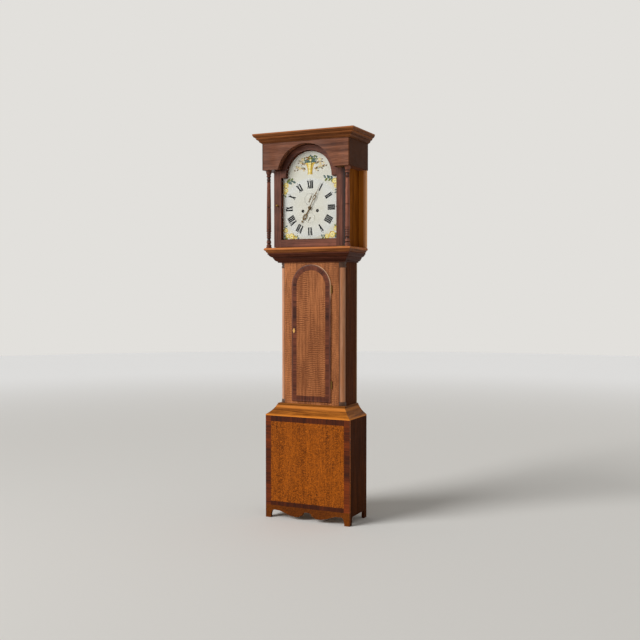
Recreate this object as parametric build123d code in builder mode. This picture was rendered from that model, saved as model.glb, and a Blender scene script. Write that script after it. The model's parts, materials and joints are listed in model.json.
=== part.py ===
"""Eight-day longcase clock: an oak and mahogany case with a sliding hood, an arched painted dial, a
weight-driven movement and a seconds pendulum. Millimetres, +Z up, front towards -Y, origin on the
floor under the middle of the case. Depths are measured forwards from the back of the case."""

import os
from math import atan2, cos, degrees, hypot, pi, sin

from build123d import *

# Heights of the case, one above the other
BASE_TOP = 573.0
SHOULDER_HEIGHT = 67.0
TRUNK_HEIGHT = 785.0
THROAT_HEIGHT = 53.0
HOOD_BASE_HEIGHT = 28.0
COLUMN_HEIGHT = 428.0
FRIEZE_HEIGHT = 146.0
CORNICE_HEIGHT = 50.0

# Widths and depths of the case
TRUNK_WIDTH = 394.0
TRUNK_DEPTH = 179.0
SHOULDER_OUT = 59.0
THROAT_OUT = 51.0
HOOD_BASE_OUT = 62.5
HOOD_WIDTH = 524.0
HOOD_OVERHANG = 81.0
CORNICE_OUT = 41.0
CORNICE_STEPS = 3
ROOF_DROP = 12.0

# Edges and steps of the mouldings
SHOULDER_EDGE = 6.0
SHOULDER_STEP = 12.0
SHOULDER_FILLET = 3.0
SHOULDER_BEAD = 8.0
SHOULDER_SEAT = 5.0
THROAT_START = 8.0
THROAT_FILLET = 6.0
THROAT_STEP = 3.0
THROAT_CROWN = 8.0
HOOD_NOSE = 16.0
HOOD_COVE = 10.0
HOOD_BASE_BACK = 12.0
CORNICE_LEAD = 4.0
CORNICE_CROWN = 9.0
CORNICE_FILLET = (2.0, 3.0)

# Boards
BACK_THICKNESS = 12.0
SIDE_THICKNESS = 14.0
FRONT_THICKNESS = 16.0
VENEER = 2.0
LAP = 40.0
TOP_BOARD = 10.0

# Base panel, apron and feet
APRON_HEIGHT = 71.0
BASE_BAND_SIDE = 33.0
BASE_BAND_TOP = 31.0
BASE_BAND_BOTTOM = 24.0
FOOT_WIDTH = 31.0
FOOT_SPLAY = 12.0
APRON_RISE = 44.0
APRON_EASE = 2.0
APRON_DROP = 20.0
APRON_CUSP = (6.0, 9.0)
LOBE_OFFSET = 90.0
APRON_NECK = 170.0
ARCH_HALF = 36.0
ARCH_RISE = 49.0
FLOOR_THICKNESS = 12.0
SIDE_FOOT = 34.0

# Quarter columns of the trunk
QUARTER_RADIUS = 30.0
QUARTER_REED_GAP = 2.5
QUARTER_CAP = 31.0
QUARTER_FOOT = 22.0

# Trunk door
DOOR_WIDTH = 240.0
DOOR_RAISE = 14.0
DOOR_HEAD_GAP = 11.0
DOOR_PROUD = 8.0
DOOR_BODY = 14.0
DOOR_LAP = 8.0
DOOR_CLEARANCE = 2.0
DOOR_BAND = 22.0
SEAT_GAP = 0.3
HINGE_LENGTH = 42.0
HINGE_INSET = 78.0
KNUCKLE_RADIUS = 3.2
HINGE_PIN = 1.5
LEAF = 1.4
RUNNING = 0.05
ESCUTCHEON_HEIGHT = 30.0
ESCUTCHEON_WIDTH = 14.0
ESCUTCHEON_UP = 393.0
KEYHOLE = 2.2
ESCUTCHEON_IN = 6.0
ESCUTCHEON_THICKNESS = 1.0
LOCK_SIZE = (30.0, 66.0, 11.0)
LOCK_IN = 2.0

# Hood
HOOD_INNER = 424.0
HOOD_SIDE = 12.0
HOOD_CLEARANCE = 2.0
EAR_WIDTH = 46.0
FRIEZE_SIDE = 18.0
FRIEZE_FRONT = 43.0
ARCH_DROP = 37.0
FRIEZE_ARCH = 170.0
COLUMN_X = 238.5
COLUMN_FORWARD = 12.0
COLUMN_GROOVE = 0.525
COLUMN_GROOVE_SIZE = 2.0
# Turnings as (radius, height above the foot) and (radius, distance below the top)
COLUMN_FOOT = ((15.5, 0.0), (15.5, 7.0), (12.5, 9.0), (14.5, 14.0), (12.0, 19.0), (8.5, 23.0), (13.5, 27.0),
               (12.0, 38.0), (8.0, 50.0), (10.5, 52.0), (12.5, 58.0), (10.5, 64.0), (12.5, 70.0),
               (10.5, 76.0), (12.5, 82.0), (10.5, 88.0), (14.0, 92.0), (14.0, 97.0), (11.0, 100.0),
               (13.5, 104.0), (13.0, 108.0))
COLUMN_HEAD = ((9.8, 66.0), (12.0, 63.0), (9.0, 60.0), (11.0, 50.0), (8.5, 38.0), (12.5, 34.0), (12.5, 29.0),
               (10.0, 25.0), (13.0, 18.0), (15.5, 12.0), (15.5, 0.0))
COLUMN_WAIST = 12.0

# Hood door and mask
HOOD_DOOR_THICKNESS = 18.0
HOOD_DOOR_ARCH = 166.0
HOOD_DOOR_GAP = 3.0
SIGHT_HALF = 168.0
SIGHT_BOTTOM_UP = 44.0
SIGHT_SHOULDER_DROP = 41.0
SIGHT_ARCH = 139.0
SIGHT_LAP = 5.0
GLASS = 2.0
GLASS_BACK = 8.0
MASK = 4.0
MASK_LAP = 3.5
PIVOT_X = 220.0
PIVOT_FORWARD = 23.0
PIVOT_PIN = 2.0
PIVOT_STRAP = 2.2
PIVOT_STRAP_LENGTH = 38.0
PIVOT_STRAP_INSET = 1.0
PIVOT_LENGTH = 7.0
PIVOT_SOCKET = 16.0
KNOB_UP = 234.0
# Turnings of the knob as (radius, distance out from the door)
KNOB_FOOT = ((0.0, 0.0), (5.0, 0.0), (5.0, 1.5), (2.2, 2.5), (2.2, 6.0))
KNOB_HEAD = ((2.2, 6.0), (5.0, 7.0), (6.0, 9.5), (4.6, 12.6), (1.5, 14.0))

# Dial
DIAL_WIDTH = 336.0
DIAL_BOTTOM_UP = 42.0
DIAL_SHOULDER_DROP = 40.0
DIAL_ARCH = 141.0
DIAL_THICKNESS = 1.6
DIAL_CENTRE_UP = 216.0
DIAL_GAP = 0.7
DIAL_HOLE = 6.5
DIAL_FOOT = 4.0
DIAL_FOOT_OUT = 55.0
DIAL_CLEARANCE = 1.0

# Hands: length, (hub radius, stem width), (place, size) of the loop and height off the dial
HAND = 1.2
HOUR_HAND = 108.0
HOUR_STEM = (9.0, 5.0)
HOUR_LOOP = (57.0, 19.0)
HOUR_RISE = 4.0
MINUTE_HAND = 150.0
MINUTE_STEM = (7.0, 4.0)
MINUTE_LOOP = (64.0, 15.0)
MINUTE_RISE = 8.0
SECONDS_HAND = 33.0
SECONDS_STEM = (3.4, 2.4)
SECONDS_LOOP = (12.0, 5.0)
SECONDS_RISE = 1.5
SECONDS_TAIL = 19.0
DATE_HAND = 27.0
DATE_STEM = (3.6, 1.8)
DATE_LOOP = (11.0, 4.0)
DATE_RISE = 1.0
DATE_COLLAR = 1.8
DATE_POST = (2.0, 2.5)
TIME_SHOWN = 7 + 4.5 / 60
SECONDS_SHOWN = 4.4
DATE_SHOWN = 18.5
DAYS = 31

# Movement plates
PLATE = 3.0
PLATE_GAP = 60.0
PLATE_HALF = 65.0
PLATE_DOWN = 88.0
PLATE_UP = 96.0
MOTION_SPACE = 38.4
PILLAR = 5.0
PILLAR_INSET = 8.0
UPPER_PILLAR_OUT = 37.0
COCK_HALF = 34.0
COCK_LEG = 10.0
COCK_DROP = 7.0
COCK_AHEAD = 12.0
MINUTE_POST = 14.0
SEATBOARD = 20.0
SEATBOARD_BACK = 18.0
SEATBOARD_FRONT = 6.0

# Arbors, placed from the centre of the dial
WINDING_OUT = 44.0
WINDING_DOWN = 16.0
SECONDS_UP = 48.0
THIRD_OUT = 12.4
THIRD_UP = 26.1
ANCHOR_UP = 79.0
PIN_OUT = 51.0
PIN_UP = 25.4
HAMMER_OUT = 58.0
HAMMER_UP = 75.0
MINUTE_OUT = 21.0
MINUTE_UP = 21.0
DATE_DOWN = 54.0
ARBOR = 2.0
PIVOT = 1.2
WINDER = 2.5
WINDER_AHEAD = 4.0
SQUARE_SHORT = 2.0
CANNON = 3.0
CANNON_STEP = 0.5
PIPE = 4.5

# Wheels, forwards from the plate behind them or back from the plate in front
WHEEL = 2.0
PINION = 7.0
PINION_AHEAD = 1.0
GREAT_AHEAD = 3.0
DRUM_AHEAD = 4.6
DRUM_SHORT = 12.0
FRONT_WHEEL_BACK = 6.0
THIRD_AHEAD = 37.0
ESCAPE_AHEAD = 21.0
CANNON_AHEAD = 3.0
HOUR_AHEAD = 5.0

# Tooth counts
GREAT_TEETH, CENTRE_LEAVES = 96, 8
CENTRE_TEETH, THIRD_LEAVES = 60, 8
THIRD_TEETH, ESCAPE_LEAVES = 56, 7
ESCAPE_TEETH = 30
CANNON_TEETH, MINUTE_TEETH = 24, 72
MINUTE_LEAVES, HOUR_TEETH = 18, 72
STRIKE_TEETH, PIN_LEAVES = 84, 8
PIN_TEETH, LIFT_PINS = 64, 8
PIN_MODULE = 0.8

# Escapement, crutch and hammer
ESCAPE_RADIUS = 21.0
ESCAPE_THICKNESS = 1.4
PALLET_GAP = 0.8
ANCHOR_THICKNESS = 2.2
ANCHOR_BACK = 6.0
ANCHOR_HORN = (4.0, 10.0)
ANCHOR_HEEL = (2.0, 7.0)
ANCHOR_THROAT = 4.0
CRUTCH = 3.0
CRUTCH_HALF = 1.6
CRUTCH_BEHIND = 6.0
CRUTCH_DROP = 94.0
FORK_WIDTH = 11.0
FORK_BEYOND = 6.0
LIFT_PIN = 0.8
LIFT_PIN_LENGTH = 4.0
HAMMER_STEM = 2.0
HAMMER_TAIL = (1.5, 24.0)
HAMMER_TAIL_GAP = 1.0
HAMMER_HEAD = (6.0, 15.0)
HAMMER_HEAD_BACK = 9.0
HAMMER_HEAD_UP = 6.0
HAMMER_TOP = 5.0

# Barrels, lines, pulleys and weights
BARREL_RADIUS = 25.0
BARREL_FLANGE = 27.0
LINE = 0.9
PULLEY_RADIUS = 25.0
PULLEY_WIDTH = 8.0
PULLEY_RIM = 3.0
PULLEY_DROP = 384.0
KNOT = 4.0
STIRRUP = 2.0
STIRRUP_DROP = 46.0
HOOK = 14.0
WEIGHT_RADIUS = 30.0
WEIGHT_LENGTH = 190.0
WEIGHT_EASE = 3.0

# Pendulum and bell
PENDULUM_BEHIND = 28.0
PENDULUM_LENGTH = 994.0
ROD = 2.5
BOB_RADIUS = 57.0
BOB_THICKNESS = 32.0
ROD_END = 6.0
NUT = 9.0
SPRING_LENGTH = 26.0
SPRING_HALF = (0.25, 5.0)
SPRING_BLOCK_HALF = (4.0, 6.0)
SPRING_BLOCK = (2.0, 8.0)
BELL_RADIUS = 50.0
BELL_HEIGHT = 42.0
BELL_WALL = 2.5
BELL_UP = 124.0
BELL_STAND = 4.0
BELL_STAND_HALF = 5.0
BELL_STAND_IN = 16.0

# Levels and faces that follow from the sizes above
HOOD_DEPTH = TRUNK_DEPTH + HOOD_OVERHANG
BACK_Y = (HOOD_DEPTH + CORNICE_OUT) / 2
TRUNK_HALF = TRUNK_WIDTH / 2
SHOULDER_TOP = BASE_TOP + SHOULDER_HEIGHT
THROAT_BOTTOM = SHOULDER_TOP + TRUNK_HEIGHT
THROAT_TOP = THROAT_BOTTOM + THROAT_HEIGHT
HOOD_FLOOR = THROAT_TOP + HOOD_BASE_HEIGHT
FRIEZE_BOTTOM = HOOD_FLOOR + COLUMN_HEIGHT
FRIEZE_TOP = FRIEZE_BOTTOM + FRIEZE_HEIGHT
TOP = FRIEZE_TOP + CORNICE_HEIGHT
ROOF_Z = TOP - ROOF_DROP
BASE_HALF = TRUNK_HALF + SHOULDER_OUT
BASE_DEPTH = TRUNK_DEPTH + SHOULDER_OUT
HOOD_HALF = HOOD_WIDTH / 2
HOOD_FRONT = HOOD_DEPTH - FRIEZE_FRONT
HOOD_INNER_HALF = HOOD_INNER / 2
COLUMN_DEPTH = HOOD_FRONT + COLUMN_FORWARD
ARCH_Z = FRIEZE_BOTTOM - ARCH_DROP
DIAL_Z = HOOD_FLOOR + DIAL_CENTRE_UP
MASK_FRONT = HOOD_FRONT - HOOD_DOOR_THICKNESS - SEAT_GAP
DIAL_FRONT = MASK_FRONT - MASK - DIAL_GAP
PLATE_FRONT = DIAL_FRONT - DIAL_THICKNESS - MOTION_SPACE
PLATE_INSIDE = PLATE_FRONT - PLATE
BACK_INSIDE = PLATE_INSIDE - PLATE_GAP
PLATE_BACK = BACK_INSIDE - PLATE
PENDULUM_DEPTH = PLATE_BACK - PENDULUM_BEHIND
COCK_DEPTH = PENDULUM_DEPTH + COCK_AHEAD
CRUTCH_DEPTH = PLATE_BACK - CRUTCH_BEHIND
GREAT_DEPTH = BACK_INSIDE + GREAT_AHEAD
DRUM_BACK = GREAT_DEPTH + DRUM_AHEAD
DRUM_FRONT = PLATE_INSIDE - DRUM_SHORT
FRONT_WHEEL = PLATE_INSIDE - FRONT_WHEEL_BACK
THIRD_DEPTH = BACK_INSIDE + THIRD_AHEAD
ESCAPE_DEPTH = BACK_INSIDE + ESCAPE_AHEAD
CANNON_DEPTH = PLATE_FRONT + CANNON_AHEAD
HOUR_WHEEL_DEPTH = CANNON_DEPTH + HOUR_AHEAD
SECONDS_DEPTH = DIAL_FRONT + SECONDS_RISE
HOUR_DEPTH = DIAL_FRONT + HOUR_RISE
MINUTE_DEPTH = DIAL_FRONT + MINUTE_RISE
SEAT_TOP = DIAL_Z - PLATE_DOWN
CHEEK_TOP = SEAT_TOP - SEATBOARD
DOOR_BOTTOM = SHOULDER_TOP + DOOR_RAISE
DOOR_HALF = DOOR_WIDTH / 2
DOOR_SPRING = THROAT_BOTTOM - DOOR_HEAD_GAP - DOOR_HALF
DOOR_FRONT = TRUNK_DEPTH + DOOR_PROUD
KNUCKLE_X = DOOR_HALF + KNUCKLE_RADIUS + SEAT_GAP
KNUCKLE_DEPTH = DOOR_FRONT - KNUCKLE_RADIUS
DRUM_MID = (PLATE_INSIDE + BACK_INSIDE) / 2
WINDING_Z = DIAL_Z - WINDING_DOWN
PULLEY_Z = SEAT_TOP - PULLEY_DROP
WEIGHT_TOP = PULLEY_Z - STIRRUP_DROP - HOOK
BELL_Z = DIAL_Z + BELL_UP
SWING_Z = DIAL_Z + ANCHOR_UP
BOB_Z = SWING_Z - PENDULUM_LENGTH


def y_at(depth):
    """Y of a face that lies this far in front of the back of the case."""
    return BACK_Y - depth


def slab(x, depth, z, mode=Mode.ADD):
    """A board between two x values, two depths and two heights."""
    with Locations((sum(x) / 2, y_at(sum(depth) / 2), sum(z) / 2)):
        Box(x[1] - x[0], depth[1] - depth[0], z[1] - z[0], mode=mode)


def facing(depth, x=0.0, z=0.0):
    """A plane seen from the front: x to the right, y up, extruding forwards."""
    return Plane(origin=(x, y_at(depth), z), x_dir=(1, 0, 0), z_dir=(0, -1, 0))


def flank(x):
    """A plane on the right side: x forwards from the back, y up, extruding to the left."""
    return Plane(origin=(x, BACK_Y, 0), x_dir=(0, -1, 0), z_dir=(-1, 0, 0))


def break_arch(half, bottom, shoulder, radius, mode=Mode.ADD):
    """A dial-shaped outline: a rectangle up to the shoulder with a part circle above it."""
    with Locations((0, (bottom + shoulder) / 2)):
        Rectangle(2 * half, shoulder - bottom, mode=mode)
    with Locations((0, ARCH_Z)):
        Circle(radius, mode=mode)


def round_head(half, bottom, spring, mode=Mode.ADD):
    """A door outline: straight sides with a half circle on top."""
    with Locations((0, (bottom + spring) / 2)):
        Rectangle(2 * half, spring - bottom, mode=mode)
    with Locations((0, spring)):
        Circle(half, mode=mode)


def moulding_front(profile, half, depth, reach):
    """The front length of a moulding, mitred at both ends against its returns."""
    with BuildPart() as run:
        with BuildSketch(Plane(origin=(0, y_at(depth), 0), x_dir=(0, -1, 0), z_dir=(-1, 0, 0))):
            profile()
        extrude(amount=half + reach, both=True)
        for side in (-1, 1):
            split(bisect_by=Plane(origin=(side * half, y_at(depth), 0), z_dir=(side, 1, 0)), keep=Keep.BOTTOM)
    return run


def moulding_returns(profile, half, depth, reach):
    """The two side lengths of a moulding, from the back to their mitres."""
    with BuildPart() as run:
        with BuildSketch(Plane(origin=(half, BACK_Y, 0), x_dir=(1, 0, 0), z_dir=(0, -1, 0))):
            profile()
        extrude(amount=depth + reach)
        split(bisect_by=Plane(origin=(half, y_at(depth), 0), z_dir=(1, 1, 0)), keep=Keep.TOP)
        mirror(about=Plane.YZ)
    return run


def star(teeth, tip, root, lean=0.0):
    """A pointed-tooth outline; lean moves each tip round by a share of the pitch."""
    step = 2 * pi / teeth
    points = []
    for tooth in range(teeth):
        for radius, turn in ((root, tooth - 0.5), (tip, tooth + lean)):
            points.append((radius * cos(turn * step), radius * sin(turn * step)))
    return points


def leaves(count, tip, root, thickness):
    """A pinion outline of narrow straight leaves."""
    points = []
    for leaf in range(count):
        middle = 2 * pi * leaf / count
        for radius, side in ((root, -1), (tip, -1), (tip, 1), (root, 1)):
            turn = middle + side * thickness / 2 / radius
            points.append((radius * cos(turn), radius * sin(turn)))
    return points


def toothed(points, turn):
    """Fill a tooth outline in the open sketch, turned by an angle in degrees."""
    with BuildSketch(mode=Mode.PRIVATE) as outline:
        with BuildLine():
            Polyline(*points, close=True)
        make_face()
    add(outline.sketch, rotation=turn)


def wheel(arbor, depth, teeth, module, turn=0.0, thickness=WHEEL, spokes=4):
    """A crossed-out wheel on an arbor at (x, z), its teeth turned by an angle in degrees."""
    radius = module * teeth / 2
    rim = radius - 3.2 * module
    hub = 2.6 * ARBOR
    with BuildSketch(facing(depth, *arbor)) as outline:
        toothed(star(teeth, radius + module, radius - 1.3 * module), turn)
        with BuildSketch(mode=Mode.PRIVATE) as crossing:
            Circle(max(rim, hub))
            Circle(hub, mode=Mode.SUBTRACT)
            with PolarLocations(0, spokes):
                Rectangle(2 * rim, 2 * ARBOR, mode=Mode.SUBTRACT)
        if rim > 2 * hub:
            add(crossing.sketch, mode=Mode.SUBTRACT)
    extrude(outline.sketch, amount=thickness)


def pinion(arbor, depth, count, module, length, turn=0.0):
    """A pinion on an arbor at (x, z)."""
    radius = module * count / 2
    with BuildSketch(facing(depth, *arbor)) as outline:
        toothed(leaves(count, radius + 0.7 * module, radius - 1.4 * module, 0.9 * module), turn)
    extrude(outline.sketch, amount=length)


def rod(arbor, depth, length, radius, mode=Mode.ADD):
    """A round length along the depth, forwards from a depth."""
    with BuildSketch(facing(depth, *arbor)) as outline:
        Circle(radius)
    extrude(outline.sketch, amount=length, mode=mode)


def arbor_rod(arbor, ahead=0.0):
    """An arbor between the plates with its two pivots, the front one longer by ahead."""
    rod(arbor, BACK_INSIDE + SEAT_GAP, PLATE_GAP - 2 * SEAT_GAP, ARBOR)
    rod(arbor, PLATE_BACK, PLATE_GAP + 2 * PLATE + ahead, PIVOT)


def module_of(first, second, teeth):
    """The module that spaces two arbors for this many teeth in all."""
    return 2 * hypot(first[0] - second[0], first[1] - second[1]) / teeth


def bearing(first, second):
    """Direction in degrees from one arbor to another."""
    return degrees(atan2(second[1] - first[1], second[0] - first[0]))


# Base of the case
with BuildPart() as base_front_panel:
    slab((-BASE_HALF, BASE_HALF), (BASE_DEPTH - FRONT_THICKNESS, BASE_DEPTH), (APRON_HEIGHT, BASE_TOP))
    with BuildSketch(facing(BASE_DEPTH - VENEER)) as base_band:
        with Locations((0, (APRON_HEIGHT + BASE_TOP) / 2)):
            Rectangle(2 * BASE_HALF, BASE_TOP - APRON_HEIGHT)
        with Locations((0, (APRON_HEIGHT + BASE_BAND_BOTTOM + BASE_TOP - BASE_BAND_TOP) / 2)):
            Rectangle(2 * (BASE_HALF - BASE_BAND_SIDE),
                      BASE_TOP - APRON_HEIGHT - BASE_BAND_TOP - BASE_BAND_BOTTOM, mode=Mode.SUBTRACT)
    extrude(amount=VENEER, mode=Mode.SUBTRACT)

with BuildPart() as base_crossbanding:
    extrude(base_band.sketch, amount=VENEER)

with BuildPart() as base_apron:
    with BuildSketch(facing(BASE_DEPTH - FRONT_THICKNESS)):
        with BuildLine():
            foot_inner = BASE_HALF - FOOT_WIDTH
            cusp_x, cusp_z = ARCH_HALF - APRON_CUSP[0], APRON_DROP + APRON_CUSP[1]
            Polyline((0, APRON_HEIGHT), (BASE_HALF, APRON_HEIGHT), (BASE_HALF, 0), (foot_inner, 0))
            Spline((foot_inner, 0), (foot_inner - FOOT_SPLAY, APRON_RISE - APRON_EASE),
                   (APRON_NECK, APRON_RISE), tangents=((0, 1), (-1, 0)))
            Spline((APRON_NECK, APRON_RISE), (LOBE_OFFSET, APRON_DROP), (ARCH_HALF, cusp_z),
                   tangents=((-1, -0.3), (-1, 1)))
            Line((ARCH_HALF, cusp_z), (cusp_x, cusp_z))
            Spline((cusp_x, cusp_z), (0, ARCH_RISE), tangents=((-0.2, 1), (-1, 0)))
            mirror(about=Plane.YZ)
        make_face()
    extrude(amount=FRONT_THICKNESS)

with BuildPart() as base_sides:
    with BuildSketch(flank(BASE_HALF)):
        with BuildLine():
            side_front = BASE_DEPTH - FRONT_THICKNESS
            Polyline((SIDE_FOOT, 0), (0, 0), (0, BASE_TOP), (side_front, BASE_TOP), (side_front, 0),
                     (side_front - SIDE_FOOT / 2, 0))
            Spline((side_front - SIDE_FOOT / 2, 0), (side_front - SIDE_FOOT, APRON_RISE),
                   tangents=((0, 1), (-1, 0)))
            Line((side_front - SIDE_FOOT, APRON_RISE), (SIDE_FOOT + FOOT_SPLAY, APRON_RISE))
            Spline((SIDE_FOOT + FOOT_SPLAY, APRON_RISE), (SIDE_FOOT, 0), tangents=((-1, 0), (0, -1)))
        make_face()
    extrude(amount=FRONT_THICKNESS)
    mirror(about=Plane.YZ)

with BuildPart() as base_floor:
    slab((FRONT_THICKNESS - BASE_HALF, BASE_HALF - FRONT_THICKNESS),
         (BACK_THICKNESS, BASE_DEPTH - FRONT_THICKNESS),
         (APRON_HEIGHT - FLOOR_THICKNESS, APRON_HEIGHT))

with BuildPart() as backboard:
    slab((FRONT_THICKNESS - BASE_HALF, BASE_HALF - FRONT_THICKNESS), (0, BACK_THICKNESS),
         (APRON_HEIGHT - FLOOR_THICKNESS, BASE_TOP))
    slab((-TRUNK_HALF, TRUNK_HALF), (0, BACK_THICKNESS), (BASE_TOP, FRIEZE_TOP - LAP))

# Trunk
with BuildPart() as trunk_sides:
    with BuildSketch(flank(TRUNK_HALF)):
        with BuildLine():
            behind_front = TRUNK_DEPTH - FRONT_THICKNESS
            behind_quarter = TRUNK_DEPTH - QUARTER_RADIUS
            Polyline((BACK_THICKNESS, BASE_TOP - LAP), (behind_front, BASE_TOP - LAP),
                     (behind_front, SHOULDER_TOP), (behind_quarter, SHOULDER_TOP),
                     (behind_quarter, THROAT_BOTTOM), (behind_front, THROAT_BOTTOM),
                     (behind_front, THROAT_TOP), (behind_quarter, THROAT_TOP),
                     (behind_quarter, CHEEK_TOP), (BACK_THICKNESS, CHEEK_TOP), close=True)
        make_face()
    extrude(amount=SIDE_THICKNESS)
    mirror(about=Plane.YZ)

leaf_bottoms = (DOOR_BOTTOM + HINGE_INSET, DOOR_SPRING - HINGE_INSET / 2)
leaf_inner = DOOR_HALF - DOOR_LAP - DOOR_CLEARANCE

with BuildPart() as trunk_front_frame:
    with BuildSketch(facing(TRUNK_DEPTH - FRONT_THICKNESS)):
        for bottom, top, half in ((BASE_TOP - LAP, SHOULDER_TOP, TRUNK_HALF),
                                  (SHOULDER_TOP, THROAT_BOTTOM, TRUNK_HALF - QUARTER_RADIUS),
                                  (THROAT_BOTTOM, THROAT_TOP, TRUNK_HALF)):
            with Locations((0, (bottom + top) / 2)):
                Rectangle(2 * half, top - bottom)
        round_head(DOOR_HALF - DOOR_LAP, DOOR_BOTTOM + DOOR_LAP, DOOR_SPRING, mode=Mode.SUBTRACT)
    extrude(amount=FRONT_THICKNESS)
    for bottom in leaf_bottoms:
        slab((DOOR_HALF - DOOR_LAP, KNUCKLE_X + KNUCKLE_RADIUS), (TRUNK_DEPTH - LEAF, TRUNK_DEPTH),
             (bottom, bottom + HINGE_LENGTH), mode=Mode.SUBTRACT)

with BuildPart() as quarter_columns:
    quarter_axis = Axis((TRUNK_HALF - QUARTER_RADIUS, y_at(TRUNK_DEPTH - QUARTER_RADIUS), 0), (0, 0, 1))
    quarter_plane = Plane(origin=quarter_axis.position, x_dir=(1, 0, 0), z_dir=(0, -1, 0))
    shaft = QUARTER_RADIUS - QUARTER_REED_GAP
    with BuildSketch(quarter_plane):
        with BuildLine():
            foot = SHOULDER_TOP + QUARTER_FOOT
            cap = THROAT_BOTTOM - QUARTER_CAP
            ring = QUARTER_CAP / 3
            Polyline((0, THROAT_BOTTOM), (0, SHOULDER_TOP), (QUARTER_RADIUS, SHOULDER_TOP),
                     (QUARTER_RADIUS, foot - ring))
            ThreePointArc((QUARTER_RADIUS, foot - ring),
                          (QUARTER_RADIUS - 0.4 * QUARTER_REED_GAP, foot - ring / 2), (shaft, foot))
            Polyline((shaft, foot), (shaft, cap), (QUARTER_RADIUS, cap + ring / 2),
                     (QUARTER_RADIUS, cap + ring), (shaft, cap + ring), (shaft, cap + 2 * ring),
                     (QUARTER_RADIUS, cap + 2 * ring), (QUARTER_RADIUS, THROAT_BOTTOM), (0, THROAT_BOTTOM))
        make_face()
    revolve(axis=quarter_axis, revolution_arc=-90)
    mirror(about=Plane.YZ)

with BuildPart() as seatboard:
    slab((-TRUNK_HALF, TRUNK_HALF), (PENDULUM_DEPTH + SEATBOARD_BACK, PLATE_FRONT + SEATBOARD_FRONT),
         (CHEEK_TOP, SEAT_TOP))
    for side in (-1, 1):
        for strand in (-1, 1):
            strand_x = side * WINDING_OUT + strand * BARREL_RADIUS
            with Locations((strand_x, y_at(DRUM_MID), CHEEK_TOP)):
                Cylinder(4 * LINE, 4 * SEATBOARD, mode=Mode.SUBTRACT)


# Mouldings round the case, each drawn as (outwards, up)
def shoulder_profile():
    """A wide hollow from the base up to a bead against the trunk."""
    hollow_top = SHOULDER_TOP - SHOULDER_BEAD - SHOULDER_FILLET
    bead_foot = SHOULDER_TOP - SHOULDER_BEAD
    edge = BASE_TOP + SHOULDER_EDGE
    with BuildLine() as outline:
        Polyline((0, SHOULDER_TOP), (0, BASE_TOP), (SHOULDER_OUT, BASE_TOP), (SHOULDER_OUT, edge))
        ThreePointArc((SHOULDER_OUT, edge), (0.52 * SHOULDER_OUT, BASE_TOP + 0.44 * SHOULDER_HEIGHT),
                      (SHOULDER_STEP, hollow_top))
        Polyline((SHOULDER_STEP, hollow_top), (SHOULDER_STEP, bead_foot), (SHOULDER_SEAT, bead_foot))
        ThreePointArc((SHOULDER_SEAT, bead_foot),
                      (SHOULDER_SEAT + SHOULDER_BEAD / 2, bead_foot + SHOULDER_BEAD / 2),
                      (SHOULDER_SEAT, SHOULDER_TOP))
        Line((SHOULDER_SEAT, SHOULDER_TOP), (0, SHOULDER_TOP))
    make_face(outline.edges())


def throat_profile():
    """Two hollows, one over the other, under the hood."""
    first = THROAT_BOTTOM + THROAT_FILLET
    mid_out, mid_up = THROAT_OUT / 2, THROAT_BOTTOM + 0.43 * THROAT_HEIGHT
    step_out, step_up = mid_out + THROAT_STEP, mid_up + THROAT_FILLET
    crown_out, crown_up = THROAT_OUT - THROAT_STEP, THROAT_TOP - THROAT_CROWN
    with BuildLine() as outline:
        Polyline((0, THROAT_TOP), (0, THROAT_BOTTOM), (THROAT_START, THROAT_BOTTOM), (THROAT_START, first))
        RadiusArc((THROAT_START, first), (mid_out, mid_up), -THROAT_OUT / 2.4)
        Polyline((mid_out, mid_up), (step_out, mid_up), (step_out, step_up))
        RadiusArc((step_out, step_up), (crown_out, crown_up), -THROAT_OUT / 2)
        Polyline((crown_out, crown_up), (THROAT_OUT, crown_up), (THROAT_OUT, THROAT_TOP), (0, THROAT_TOP))
    make_face(outline.edges())


def hood_base_profile():
    """A cove under a round nose."""
    nose_out = HOOD_BASE_OUT - HOOD_NOSE / 2
    nose_foot = HOOD_FLOOR - HOOD_NOSE
    with BuildLine() as outline:
        Polyline((0, HOOD_FLOOR), (0, THROAT_TOP), (nose_out - HOOD_COVE, THROAT_TOP))
        RadiusArc((nose_out - HOOD_COVE, THROAT_TOP), (nose_out, nose_foot), -1.2 * HOOD_COVE)
        ThreePointArc((nose_out, nose_foot), (HOOD_BASE_OUT, HOOD_FLOOR - HOOD_NOSE / 2),
                      (nose_out, HOOD_FLOOR))
        Line((nose_out, HOOD_FLOOR), (0, HOOD_FLOOR))
    make_face(outline.edges())


def cornice_profile():
    """Coves stepping out one over the other to a square crown."""
    fillet_out, fillet_up = CORNICE_FILLET
    cove_out = (CORNICE_OUT - CORNICE_LEAD) / CORNICE_STEPS - fillet_out
    cove_up = (CORNICE_HEIGHT - CORNICE_CROWN) / CORNICE_STEPS - fillet_up
    with BuildLine() as outline:
        out, up = CORNICE_LEAD, FRIEZE_TOP
        Polyline((0, TOP), (0, up), (out, up))
        for _ in range(CORNICE_STEPS):
            start = up + fillet_up
            end = start + cove_up
            Line((out, up), (out, start))
            RadiusArc((out, start), (out + cove_out, end), -cove_out)
            Line((out + cove_out, end), (out + cove_out + fillet_out, end))
            out, up = out + cove_out + fillet_out, end
        Polyline((out, up), (out, TOP), (0, TOP))
    make_face(outline.edges())


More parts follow.
